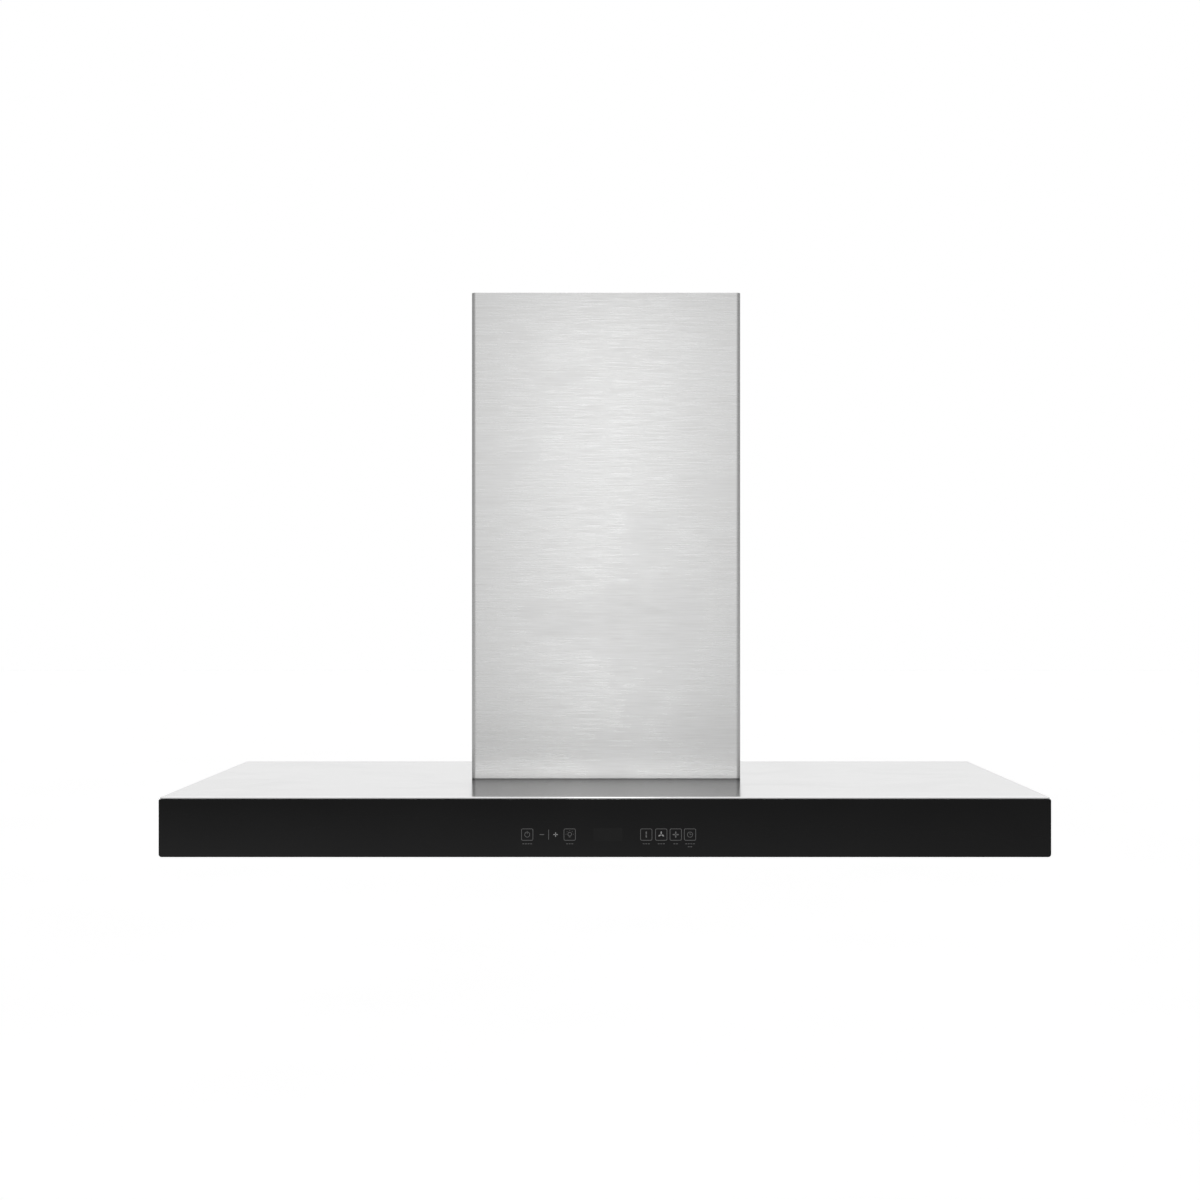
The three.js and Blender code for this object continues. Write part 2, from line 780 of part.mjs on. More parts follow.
const hookSeat = boxTop - hookDrop;
const terminalLeft = -boxHalf + terminalSideMargin;
const terminalFront = boxFront + terminalFrontMargin;
const terminalX = [terminalLeft, terminalLeft + terminalWidth];
const terminalY = [terminalFront, terminalFront + terminalDepth];
const supplyX = terminalLeft + supplyInset;
const supplyY = terminalFront + supplyInset;

// A steel box over the air hole, open below, with slots at the back for the wall hooks.
function motorBox() {
  const walls = cut(
    block([-boxHalf, boxHalf], [boxFront, boxBack], [boxFoot, boxTop]),
    block(
      inset([-boxHalf, boxHalf], boxSheet),
      inset([boxFront, boxBack], boxSheet),
      [boxFoot - 1, boxTop - boxSheet],
    ),
  );
  const feet = sides.map(([, side]) =>
    block(
      sideways(side, boxHalf - 1, boxHalf + boxFlange),
      inset([boxFront, boxBack], boxFlangeEnd),
      [boxFoot, boxFoot + boxSheet],
    ),
  );
  const throughTop = [boxTop - boxSheet - 1, boxTop + 1];
  const outlet = rod("z", collarRadius - collarSheet, throughTop, [0, collarY, 0], 32);
  const hookSlots = sides.map(([, side]) =>
    block(
      sideways(side, hookOffset - hookWidth / 2 - 1, hookOffset + hookWidth / 2 + 1),
      [boxBack - boxSheet - 1, boxBack + 1],
      [hookSeat + clearance - hookSheet - hookLip - 3, hookSeat + clearance],
    ),
  );
  const supplyHole = rod("z", leadRadius + 1, throughTop, [supplyX, supplyY, 0], 16);
  return cut(joined([walls, ...feet]), outlet, ...hookSlots, supplyHole);
}
addPiece("motor_box", motorBox(), zincSteel);

for (const [sideName, side] of sides) {
  const x = sideways(side, hookOffset - hookWidth / 2, hookOffset + hookWidth / 2);
  const plate = block(
    sideways(side, hookOffset - hookPlateWidth / 2, hookOffset + hookPlateWidth / 2),
    [-hookSheet, 0],
    [hookSeat - hookPlateDrop, hookSeat + hookPlateRise],
  );
  const tipY = boxBack - boxSheet - clearance - hookSheet - 1;
  const tongue = block(x, [tipY, -1], [hookSeat - hookSheet, hookSeat]);
  const lip = block(x, [tipY, tipY + hookSheet], [hookSeat - hookSheet, hookSeat + hookLip]);
  addPiece(`wall_hook_${sideName}`, joined([plate, tongue, lip]), zincSteel);
}

// ---------- Blower housing ----------

const polar = (degrees, radius) => [
  axleY - radius * Math.sin(THREE.MathUtils.degToRad(degrees)),
  axleZ + radius * Math.cos(THREE.MathUtils.degToRad(degrees)),
];

// The scroll's outline in (Y, Z): up the outlet's front, round the growing spiral and up the outlet's back.
function scrollOutline(growth) {
  const steps = 20;
  const spiral = Array.from({ length: steps + 1 }, (_, i) => {
    const degrees = tongueAngle + (scrollTurn * i) / steps;
    return polar(degrees, scrollRadius(degrees) + growth);
  });
  return [[spiral[0][0], outletTop], ...spiral, [spiral.at(-1)[0], outletTop]];
}

// The band is the strip between the scroll's outline and the same outline a sheet further out.
function scrollBand() {
  const points = [...scrollOutline(scrollSheet), ...scrollOutline(0).reverse()];
  const outline = new THREE.Shape(points.map(([y, z]) => new THREE.Vector2(y, z)));
  return prism("x", outline, [-scrollHalf, scrollHalf]);
}
addPiece("scroll_band", scrollBand(), zincSteel);

for (const [sideName, side] of sides) {
  const outline = new THREE.Shape(
    scrollOutline(scrollSheet + 2).map(([y, z]) => new THREE.Vector2(y, z)),
  );
  const x = sideways(side, scrollHalf + clearance, scrollHalf + clearance + scrollSheet);
  const neckRadius = inletRadius + inletSheet;
  const hole = rod("x", neckRadius + 2 * clearance, [x[0] - 1, x[1] + 1], [0, axleY, axleZ], 32);
  addPiece(`scroll_side_${sideName}`, cut(prism("x", outline, x), hole), zincSteel);

  // The inlet ring's mouth flares outwards, and its neck passes through the side.
  const seat = scrollHalf + 2 * clearance + scrollSheet;
  const neck = scrollHalf - 1;
  const profile = [
    [inletRadius, neck],
    [neckRadius, neck],
    [neckRadius, seat],
    [inletRadius + inletFlare, seat],
    [inletRadius + inletFlare, seat + inletSheet],
    [neckRadius + 1, seat + inletSheet],
    [inletRadius, seat - inletSheet],
  ].map(([radius, height]) => [radius, side * height]);
  const ring = turned("x", side > 0 ? profile : profile.reverse(), [0, axleY, axleZ], 28);
  addPiece(`inlet_ring_${sideName}`, ring, greyPlastic);
}

// ---------- Blower wheel ----------

// A forward-curved blade: a bowed strip across the wheel's rim.
function bladeOutline() {
  const outer = wheelRadius - 0.5;
  const inner = outer - bladeDepth;
  const outline = new THREE.Shape();
  outline.moveTo(inner, 0);
  outline.quadraticCurveTo((inner + outer) / 2, bladeBow * 2, outer, 0);
  outline.lineTo(outer, bladeThickness);
  outline.quadraticCurveTo((inner + outer) / 2, bladeBow * 2 + bladeThickness, inner, bladeThickness);
  return outline;
}

function blowerWheel() {
  const blades = Array.from({ length: bladeCount }, (_, i) => {
    const geometry = new THREE.ExtrudeGeometry(bladeOutline(), {
      depth: 2 * wheelHalfWidth - wheelRing,
      bevelEnabled: false,
      curveSegments: 2,
    });
    geometry.translate(0, 0, -wheelHalfWidth + wheelRing / 2);
    geometry.rotateZ((2 * Math.PI * i) / bladeCount);
    geometry.applyMatrix4(alongAxis.x);
    geometry.translate(0, axleY, axleZ);
    return solidOf(geometry);
  });
  const centre = [0, axleY, axleZ];
  const rings = sides.map(([, side]) => {
    const outer = side * wheelHalfWidth;
    const inner = outer - side * wheelRing;
    const [from, to] = side > 0 ? [inner, outer] : [outer, inner];
    return cut(
      rod("x", wheelRadius, [from, to], centre, 40),
      rod("x", wheelRadius - bladeDepth, [from - 1, to + 1], centre, 40),
    );
  });
  const disc = rod("x", wheelRadius, [-wheelDisc / 2, wheelDisc / 2], centre, 40);
  const hub = rod("x", hubRadius, [-hubLength, wheelDisc / 2], centre, 16);
  const bore = rod("x", shaftRadius + clearance, [-hubLength - 1, wheelDisc], centre, 12);
  return cut(joined([...blades, ...rings, disc, hub]), bore);
}
addPiece("blower_wheel", blowerWheel(), blackPlastic);

function shaftAndNut() {
  const centre = [0, axleY, axleZ];
  const nutFoot = -hubLength - clearance;
  addPiece(
    "motor_shaft",
    rod("x", shaftRadius, [nutFoot - nutHeight - 4, motorOuter + shaftStub], centre, 12),
    turnedSteel,
  );
  const nut = rod("x", nutRadius, [nutFoot - nutHeight, nutFoot], centre, 6);
  const thread = rod("x", shaftRadius + clearance, [nutFoot - nutHeight - 1, nutFoot + 1], centre, 12);
  addPiece("hub_nut", cut(nut, thread), turnedSteel);
}
shaftAndNut();

// ---------- Motor ----------

// A round case with a rounded shoulder at each end and a seat for a bearing.
function motorCase() {
  const bore = shaftRadius + 2;
  const seat = bearingRadius + clearance;
  const profile = [
    [seat, motorInner],
    [motorRadius - motorShoulder, motorInner],
    [motorRadius, motorInner + motorShoulder],
    [motorRadius, motorOuter - motorShoulder],
    [motorRadius - motorShoulder, motorOuter],
    [seat, motorOuter],
    [seat, motorOuter - bearingWidth],
    [bore, motorOuter - bearingWidth],
    [bore, motorInner + bearingWidth],
    [seat, motorInner + bearingWidth],
  ];
  return turned("x", profile, [0, axleY, axleZ], 24);
}
addPiece("motor_case", motorCase(), castAluminium);

for (const [name, from] of [
  ["bearing_inner", motorInner],
  ["bearing_outer", motorOuter - bearingWidth + clearance],
]) {
  const width = bearingWidth - clearance;
  const centre = [0, axleY, axleZ];
  addPiece(
    name,
    cut(
      rod("x", bearingRadius, [from, from + width], centre, 16),
      rod("x", shaftRadius + clearance, [from - 1, from + width + 1], centre, 12),
    ),
    turnedSteel,
  );
}

// A ring on the motor's outer end, with three legs that reach back to the scroll's side.
function motorBracket() {
  const foot = scrollHalf + 2 * clearance + scrollSheet;
  const face = motorOuter + clearance;
  const legRadius = inletRadius + inletFlare + 3;
  const legs = [0, 120, 240].map((degrees) => {
    const arm = block(
      [face, face + legSheet],
      [-legWidth / 2, legWidth / 2],
      [bearingRadius + 6, legRadius],
    );
    const leg = block(
      [foot, face + legSheet],
      [-legWidth / 2, legWidth / 2],
      [legRadius - legSheet, legRadius],
    );
    return joined([arm, leg]).rotate([degrees, 0, 0]).translate([0, axleY, axleZ]);
  });
  const centre = [0, axleY, axleZ];
  const plate = rod("x", legPlateRadius, [face, face + legSheet], centre, 24);
  const hole = rod("x", bearingRadius, [face - 1, face + legSheet + 1], centre, 16);
  return cut(joined([plate, ...legs]), hole);
}
addPiece("motor_bracket", motorBracket(), zincSteel);

const capacitorX = -(boxHalf - boxSheet + scrollHalf + scrollSheet) / 2;
addPiece(
  "run_capacitor",
  rod(
    "z",
    capacitorRadius,
    [boxFoot + capacitorRise, boxFoot + capacitorRise + capacitorHeight],
    [capacitorX, boxBack - boxSheet - clearance - capacitorRadius, 0],
    20,
  ),
  whitePlastic,
);

// ---------- Duct collar and dampers ----------

const collarInner = collarRadius - collarSheet;
const stopTop = pinZ - flapDrop - flapThickness - clearance;

// The collar's wall stands on a flange, and a ledge inside it stops the flaps.
function ductCollar() {
  const profile = [
    [collarInner - stopWidth, collarFoot],
    [collarRadius + collarFlange, collarFoot],
    [collarRadius + collarFlange, collarFoot + collarSheet],
    [collarRadius, collarFoot + collarSheet],
    [collarRadius, collarFoot + collarHeight],
    [collarInner, collarFoot + collarHeight],
    [collarInner, stopTop],
    [collarInner - stopWidth, stopTop],
  ];
  const across = [-collarRadius - 1, collarRadius + 1];
  const pinHole = rod("x", pinRadius + clearance, across, [0, collarY, pinZ], 12);
  return cut(turned("z", profile, [0, collarY, 0]), pinHole);
}
addPiece("duct_collar", ductCollar(), greyPlastic);
addPiece(
  "damper_pin",
  rod("x", pinRadius, [-collarRadius, collarRadius], [0, collarY, pinZ], 12),
  turnedSteel,
);

// Half a disc, hung on the pin by two knuckles, and notched where the other flap's knuckles are.
function damperFlap(side, knuckles, otherKnuckles) {
  const radius = collarInner - flapGap;
  const z = [pinZ - flapDrop - flapThickness, pinZ - flapDrop];
  const half = side < 0 ? [-radius - 1, -clearance] : [clearance, radius + 1];
  const place = ([from, to]) => [collarY + from, collarY + to];
  const disc = rod("z", radius, z, [0, collarY, 0], 32).intersect(
    block([-radius - 1, radius + 1], place(half), [z[0] - 1, z[1] + 1]),
  );
  const reach = knuckleRadius + 1;
  const notches = otherKnuckles.map(([from, to]) =>
    block([from - 1, to + 1], place([-reach, reach]), [z[0] - 1, z[1] + 1]),
  );
  const barrels = knuckles.flatMap(([from, to]) => [
    rod("x", knuckleRadius, [from, to], [0, collarY, pinZ], 16),
    block(
      [from, to],
      place(side < 0 ? [-knuckleRadius, -clearance] : [clearance, knuckleRadius]),
      [z[0], pinZ],
    ),
  ]);
  const bore = rod("x", pinRadius + clearance, [-radius, radius], [0, collarY, pinZ], 12);
  return cut(joined([cut(disc, ...notches), ...barrels]), bore);
}

const knucklesAt = (x) => [-1, 1].map((side) => sideways(side, x, x + knuckleLength));
const frontKnuckles = knucklesAt(frontKnuckleX);
const rearKnuckles = knucklesAt(rearKnuckleX);
addPiece("damper_flap_front", damperFlap(-1, frontKnuckles, rearKnuckles), blackPlastic);
addPiece("damper_flap_rear", damperFlap(1, rearKnuckles, frontKnuckles), blackPlastic);

// ---------- Supply terminals and leads ----------

const terminalFoot = boxTop + clearance;
const terminalTop = terminalFoot + terminalHeight;
const glandNutTop = terminalTop + glandNutHeight;
const glandX = (terminalX[0] + terminalX[1]) / 2;
const glandY = (terminalY[0] + terminalY[1]) / 2;
addPiece(
  "terminal_box",
  cut(
    block(terminalX, terminalY, [terminalFoot, terminalTop]),
    block(
      inset(terminalX, terminalWall),
      inset(terminalY, terminalWall),
      [terminalFoot - 1, terminalTop - terminalWall],
    ),
    rod("z", glandBore, [terminalFoot, terminalTop + 1], [glandX, glandY, 0], 16),
  ),
  blackPlastic,
);
addPiece(
  "cord_gland",
  cut(
    joined([
      rod("z", glandRadius, [terminalTop + clearance, glandNutTop], [glandX, glandY, 0], 6),
      rod("z", glandRadius - 2, [glandNutTop - 1, terminalTop + glandHeight], [glandX, glandY, 0], 16),
    ]),
    rod("z", glandBore, [terminalTop - 1, terminalTop + glandHeight + 1], [glandX, glandY, 0], 16),
  ),
  blackPlastic,
);

// Each lead leaves and meets its pieces square to their faces.
const leadGap = 3; // from a lead to the sheet beside it
const leadEnd = 14; // straight length at a lead's end
const controlLeadInset = 20; // from the control box's side in to its leads
const controlRear = controlY[1] + clearance;
const controlMiddleY = (controlY[0] + controlY[1]) / 2;
const controlMiddleZ = (controlZ[0] + controlZ[1]) / 2;
const leadZ = canopyTop - canopySheet - leadRadius - leadGap;
const riseY = airHoleY[0] + leadRadius + leadGap; // where the leads rise through the air hole

// From the control box back under the canopy's top and up through the air hole, near one side of it.
function leadToBox(startX, riseX) {
  return [
    [startX, controlRear, leadZ],
    [startX, controlRear + leadEnd, leadZ],
    [riseX, riseY - 3 * leadEnd, leadZ - 2],
    [riseX, riseY - leadEnd, leadZ - 2],
    [riseX, riseY, canopyTop - 2],
    [riseX, riseY + 1, canopyTop + 20],
  ];
}

addPiece(
  "supply_lead",
  lead(
    leadRadius,
    [
      ...leadToBox(controlX[0] + controlLeadInset, supplyX),
      [supplyX, supplyY - 4, axleZ - 40],
      [supplyX, supplyY, boxTop - 60],
      [supplyX, supplyY, terminalFoot + 6],
    ],
    22,
  ),
  leadPvc,
);
const motorLeadX = airHoleX[1] - leadRadius - leadGap;
const motorLeadY = axleY - legPlateRadius - 2;
const motorLeadZ = axleZ + 12;
addPiece(
  "motor_lead",
  lead(
    leadRadius,
    [
      ...leadToBox(controlX[1] - controlLeadInset, motorLeadX),
      [motorLeadX, motorLeadY - 26, axleZ - 34],
      [motorLeadX - 1, motorLeadY - 8, axleZ - 4],
      [motorOuter + 20, motorLeadY, motorLeadZ],
      [motorOuter + 10, motorLeadY, motorLeadZ],
      [motorOuter + clearance, motorLeadY, motorLeadZ],
    ],
    24,
  ),
  leadPvc,
);
for (const [sideName, side] of sides) {
  const start = side * (controlWidth / 2 + clearance);
  const lampTop = panelTop + lampNeck + lampBodyHeight + 2 * clearance;
  const crownZ = canopyTop - canopySheet - lampLeadRadius - leadGap;
  addPiece(
    `lamp_lead_${sideName}`,
    lead(
      lampLeadRadius,
      [
        [start, controlMiddleY, controlMiddleZ],
        [start + side * 10, controlMiddleY, controlMiddleZ],
        [side * (lampOffset - 120), lampY, crownZ],
        [side * (lampOffset - 30), lampY, crownZ],
        [side * (lampOffset - 4), lampY, lampTop + 16],
        [side * lampOffset, lampY, lampTop + 6],
        [side * lampOffset, lampY, lampTop],
      ],
      14,
    ),
    leadPvc,
  );
}
const touchLeadX = touchX[0] + 8;
const touchLeadZ = controlMiddleZ - 10;
addPiece(
  "touch_lead",
  lead(
    lampLeadRadius,
    [
      [touchLeadX, carrierBack + clearance, touchLeadZ],
      [touchLeadX, carrierBack + 8, touchLeadZ],
      [touchLeadX + 2, carrierBack + 14, touchLeadZ],
      [touchLeadX + 7, carrierBack + 17, touchLeadZ],
      [controlX[0] - clearance, carrierBack + 17, touchLeadZ],
    ],
    8,
  ),
  leadPvc,
);

export default hood;
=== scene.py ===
# %% [markdown]
# # A chimney range hood in Blender
#
# The hood hangs on a wall. A shallow steel canopy carries a black glass front with touch controls,
# and a chimney in two sliding covers hides the blower and the duct. The solids come from a packed
# CAD model. This lesson loads that model as a fixed frame and builds the finer pieces round it.
# Every position is in metres, in the CAD model's own frame: X to the right, Y back to the wall, Z up.

# %% Load the frame
import json
import math

import bmesh
import bpy
from mathutils import Matrix, Vector


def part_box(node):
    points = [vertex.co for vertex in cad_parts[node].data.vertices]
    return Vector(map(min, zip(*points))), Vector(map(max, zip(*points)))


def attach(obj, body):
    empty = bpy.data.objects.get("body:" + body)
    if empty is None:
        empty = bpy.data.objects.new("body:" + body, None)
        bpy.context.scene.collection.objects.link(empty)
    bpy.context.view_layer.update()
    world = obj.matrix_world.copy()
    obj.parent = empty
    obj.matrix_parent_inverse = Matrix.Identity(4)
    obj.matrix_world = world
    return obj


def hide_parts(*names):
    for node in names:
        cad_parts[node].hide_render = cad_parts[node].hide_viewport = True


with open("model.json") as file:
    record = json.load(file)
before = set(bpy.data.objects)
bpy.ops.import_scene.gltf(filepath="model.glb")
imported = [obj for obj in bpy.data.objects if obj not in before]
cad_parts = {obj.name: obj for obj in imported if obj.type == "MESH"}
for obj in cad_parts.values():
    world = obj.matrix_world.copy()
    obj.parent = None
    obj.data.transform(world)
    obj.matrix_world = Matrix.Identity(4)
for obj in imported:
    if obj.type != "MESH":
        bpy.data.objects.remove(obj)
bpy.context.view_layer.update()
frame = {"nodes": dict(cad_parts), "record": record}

scene = bpy.context.scene
slot_of = {part["node"]: part["material_slot"] for part in frame["record"]["subparts"]}
body_of = {node: body for body, nodes in frame["record"]["behaviour"]["bodies"].items() for node in nodes}

# %% [markdown]
# ## The camera
#
# A hood looks best through a long lens, from a little above the canopy and straight on, so that
# upright edges stay upright. How deep the canopy's top looks depends on the camera's distance, and
# the lens of about 64 mm on a 36 mm sensor then sets the size. The small shift frames the hood
# without tilting the camera.

# %% Camera
camera_data = bpy.data.cameras.new("camera")
camera_data.lens = 63.66
camera_data.shift_x = -0.0140
camera_data.shift_y = 0.0070
camera = bpy.data.objects.new("camera", camera_data)
camera.location = (0.012, -2.639, 0.220)
camera.rotation_euler = (math.radians(90), 0, 0)
scene.collection.objects.link(camera)
scene.camera = camera
print("camera:", [round(value, 3) for value in camera.location], "lens", camera_data.lens)

# %% [markdown]
# ## Light and floor
#
# Brushed steel shows what surrounds it, so a studio is mostly its surroundings. The world is white
# to the camera. To every other ray it is nearly even in front and behind, and darker at the two
# sides, which draws the thin dark lines down the chimney's bent corners. A narrow upright lamp
# stands in front of the chimney. The grain of the steel blurs a lamp widely, so only a near one
# fades towards the sides and gives the chimney its bright middle. A broad, weak one hangs overhead.

# %% A small helper that adds and wires shader nodes
def add_node(tree, kind, inputs=None, **settings):
    """Adds one shader node. Inputs are plain values, or the sockets to connect."""
    made = tree.nodes.new(kind)
    for name, value in settings.items():
        setattr(made, name, value)
    for socket, value in (inputs or {}).items():
        if isinstance(value, bpy.types.NodeSocket):
            tree.links.new(value, made.inputs[socket])
        else:
            made.inputs[socket].default_value = value
    return made


def grey(value, tint=(1.0, 1.0, 1.0)):
    return (value * tint[0], value * tint[1], value * tint[2], 1.0)


def calculate(tree, operation, first, second=0.0, third=0.0, clamp=False):
    """One Math node, as its result socket."""
    values = {0: first, 1: second, 2: third}
    return add_node(tree, "ShaderNodeMath", values, operation=operation, use_clamp=clamp).outputs[0]


def remap(tree, value, low, high, new_low=0.0, new_high=1.0):
    """Stretches a value from one range to another, and clamps it there."""
    values = {"Value": value, "From Min": low, "From Max": high, "To Min": new_low, "To Max": new_high}
    return add_node(tree, "ShaderNodeMapRange", values).outputs["Result"]


def blend_colors(tree, factor, first, second, blend_type="MIX"):
    """One colour mix, as its result socket."""
    node = add_node(tree, "ShaderNodeMix", data_type="RGBA", blend_type=blend_type)
    for index, value in ((0, factor), (6, first), (7, second)):
        if isinstance(value, bpy.types.NodeSocket):
            tree.links.new(value, node.inputs[index])
        else:
            node.inputs[index].default_value = value
    return node.outputs[2]


def color_ramp(tree, factor, stops):
    """A ramp through (position, grey) stops, as its colour socket."""
    node = add_node(tree, "ShaderNodeValToRGB", {"Fac": factor})
    elements = node.color_ramp.elements
    while len(elements) < len(stops):
        elements.new(0.5)
    for element, (position, shade) in zip(elements, stops):
        element.position = position
        element.color = grey(shade)
    return node.outputs["Color"]


def object_place(tree):
    """Object coordinates, which stay on a piece when a joint moves it."""
    return add_node(tree, "ShaderNodeTexCoord").outputs["Object"]


def noise(tree, place, scale, detail, **more):
    """Soft noise between 0 and 1. More is values for its other sockets."""
    values = {"Vector": place, "Scale": scale, "Detail": detail, **more}
    return add_node(tree, "ShaderNodeTexNoise", values).outputs["Fac"]


# %% World
SIDE_SHADES = ((0.0, 1.0), (0.55, 1.0), (0.72, 0.42), (0.93, 0.30), (1.0, 0.75))    # sideness, brightness


def studio_world():
    world = bpy.data.worlds.new("studio")
    world.use_nodes = True
    tree = world.node_tree
    tree.nodes.clear()
    direction = add_node(tree, "ShaderNodeTexCoord").outputs["Generated"]
    axes = add_node(tree, "ShaderNodeSeparateXYZ", {"Vector": direction}).outputs
    sideness = calculate(tree, "ABSOLUTE", axes["X"])
    side_shade = color_ramp(tree, sideness, SIDE_SHADES)
    front_shade = remap(tree, axes["Y"], -0.9, 0.6, 0.94, 0.90)
    surroundings = blend_colors(tree, 1.0, side_shade, front_shade, "MULTIPLY")
    seen = add_node(tree, "ShaderNodeLightPath").outputs["Is Camera Ray"]
    color = blend_colors(tree, seen, surroundings, grey(1.0))
    background = add_node(tree, "ShaderNodeBackground", {"Color": color})
    add_node(tree, "ShaderNodeOutputWorld", {"Surface": background.outputs[0]})
    return world


scene.world = studio_world()
scene.view_settings.view_transform = "Standard"
print("world:", scene.world.name)


# %% Lamps
def soft_lamp(name, size, place, target, power):
    data = bpy.data.lights.new(name, "AREA")
    data.shape = "RECTANGLE"
    data.size, data.size_y = size
    data.energy = power
    lamp = bpy.data.objects.new(name, data)
    lamp.location = place
    lamp.rotation_euler = (Vector(target) - Vector(place)).to_track_quat("-Z", "Y").to_euler()
    lamp.visible_camera = False
    scene.collection.objects.link(lamp)
    return lamp


CHIMNEY_MIDDLE = 0.355     # height
FACE_LAMP_DISTANCE = 1.15
soft_lamp(
    "face_lamp", size=(0.11, 0.72), place=(0, -FACE_LAMP_DISTANCE, CHIMNEY_MIDDLE),
    target=(0, 0, CHIMNEY_MIDDLE), power=0.46,
)
soft_lamp("overhead_lamp", size=(2.4, 1.2), place=(0, 0.3, 2.4), target=(0, 0, 0), power=8)

# %% [markdown]
# The floor lies well below the hood, as it does under a hood on a wall. It is pale, wide enough that
# its edge is out of sight, and glows a little so that it meets the white surroundings without a line.
# From below it is clear, so that the filters can be looked at from there too.

# %% Floor
FLOOR_HEIGHT = -1.62
FLOOR_REACH = 60.0
FLOOR_GLOW = 0.36      # for the camera only, so that the steel is not lit by it


def pale_floor():
    bm = bmesh.new()
    bmesh.ops.create_grid(bm, x_segments=1, y_segments=1, size=FLOOR_REACH)
    bmesh.ops.translate(bm, verts=bm.verts, vec=(0, 0, FLOOR_HEIGHT))
    mesh = bpy.data.meshes.new("floor")
    bm.to_mesh(mesh)
    bm.free()
    material = bpy.data.materials.new("floor_paint")
    material.use_nodes = True
    tree = material.node_tree
    shader = tree.nodes["Principled BSDF"]
    mottle = noise(tree, object_place(tree), 0.8, 3.0)
    tree.links.new(blend_colors(tree, mottle, grey(0.80), grey(0.84)), shader.inputs["Base Color"])
    shader.inputs["Roughness"].default_value = 0.9
    shader.inputs["Specular IOR Level"].default_value = 0.1
    shader.inputs["Emission Strength"].default_value = FLOOR_GLOW
    seen = add_node(tree, "ShaderNodeLightPath").outputs["Is Camera Ray"]
    tree.links.new(blend_colors(tree, seen, grey(0.0), grey(1.0)), shader.inputs["Emission Color"])
    below = add_node(tree, "ShaderNodeNewGeometry").outputs["Backfacing"]
    tree.links.new(calculate(tree, "SUBTRACT", 1.0, below), shader.inputs["Alpha"])
    mesh.materials.append(material)
    floor = bpy.data.objects.new("floor", mesh)
    scene.collection.objects.link(floor)
    return floor


pale_floor()
print("floor at", FLOOR_HEIGHT)

# %% [markdown]
# ## Effects that several finishes share
#
# Each effect is a shader node group with named inputs and outputs, built once. All of them read
# Object coordinates. Every piece has its place in its mesh, so a pattern runs on without a break
# from one piece to the next, and stays on its piece when a joint moves.

# %% A group with its sockets, and a way to place it
def shader_group(name, inputs, outputs):
    """An empty group. Inputs are {name: default}, where a tuple is a vector. Outputs are names."""
    tree = bpy.data.node_groups.new(name, "ShaderNodeTree")
    for socket, default in inputs.items():
        kind = "NodeSocketVector" if isinstance(default, tuple) else "NodeSocketFloat"
        made = tree.interface.new_socket(name=socket, in_out="INPUT", socket_type=kind)
        made.default_value = default
    for socket in outputs:
        tree.interface.new_socket(name=socket, in_out="OUTPUT", socket_type="NodeSocketFloat")
    return tree, add_node(tree, "NodeGroupInput").outputs, add_node(tree, "NodeGroupOutput")


def place_group(tree, group, **inputs):
    """The group as a node in a material, with its own values. Returns the node's outputs."""
    node = add_node(tree, "ShaderNodeGroup", node_tree=group)
    for name, value in inputs.items():
        node.inputs[name.replace("_", " ")].default_value = value
    return node.outputs


# %% [markdown]
# **Brushed grain.** A belt draws fine scratches along the sheet, each a few centimetres long and
# well under a millimetre wide. Noise that is stretched along one axis looks like them. One layer
# gives the hair-fine scratches, a second the longer bands, and a third the slow change of tone.

# %% Brushed grain
def brushed_grain_group():
    inputs = {"Fine Scale": (30.0, 30.0, 900.0), "Band Scale": (3.0, 3.0, 160.0)}
    tree, given, made = shader_group("Brushed grain", inputs, ["Streaks", "Bands", "Patches"])
    place = object_place(tree)
    for socket, scale in (("Streaks", "Fine Scale"), ("Bands", "Band Scale")):
        stretched = add_node(tree, "ShaderNodeVectorMath", {0: place, 1: given[scale]}, operation="MULTIPLY")
        streaks = noise(tree, stretched.outputs[0], 1.0, 4.0, Roughness=0.65)
        tree.links.new(remap(tree, streaks, 0.3, 0.7), made.inputs[socket])
    tree.links.new(remap(tree, noise(tree, place, 5.0, 2.0), 0.3, 0.7), made.inputs["Patches"])
    return tree


brushed_grain = brushed_grain_group()

# %% [markdown]
# **Edge wear.** Handling polishes the edges of a sheet. The Bevel node rounds the normal near an
# edge, so the difference between it and the true normal marks the edges. Noise breaks the line up.

# %% Edge wear
def edge_wear_group():
    tree, given, made = shader_group("Edge wear", {"Width": 0.0008, "Breakup": 120.0}, ["Mask"])
    flat = add_node(tree, "ShaderNodeNewGeometry").outputs["Normal"]
    rounded = add_node(tree, "ShaderNodeBevel", {"Radius": given["Width"]}, samples=4).outputs["Normal"]
    aligned = add_node(tree, "ShaderNodeVectorMath", {0: flat, 1: rounded}, operation="DOT_PRODUCT")
    turned = remap(tree, aligned.outputs["Value"], 0.98, 0.80)
    broken = remap(tree, noise(tree, object_place(tree), given["Breakup"], 2.0), 0.35, 0.60)
    tree.links.new(calculate(tree, "MULTIPLY", turned, broken), made.inputs["Mask"])
    return tree


edge_wear = edge_wear_group()

# %% [markdown]
# **Smudges.** Hands and cloths leave faint, soft marks that show only in the gloss.

# %% Smudges
def smudge_group():
    tree, given, made = shader_group("Smudges", {"Size": 9.0}, ["Mask"])
    smears = noise(tree, object_place(tree), given["Size"], 5.0, Roughness=0.6, Distortion=0.6)
    tree.links.new(remap(tree, smears, 0.48, 0.72), made.inputs["Mask"])
    return tree


smudges = smudge_group()

# %% [markdown]
# **Spangle.** Zinc freezes on steel in flat crystals, each with its own shade of grey. Voronoi
# cells have the same straight borders and one random value each.

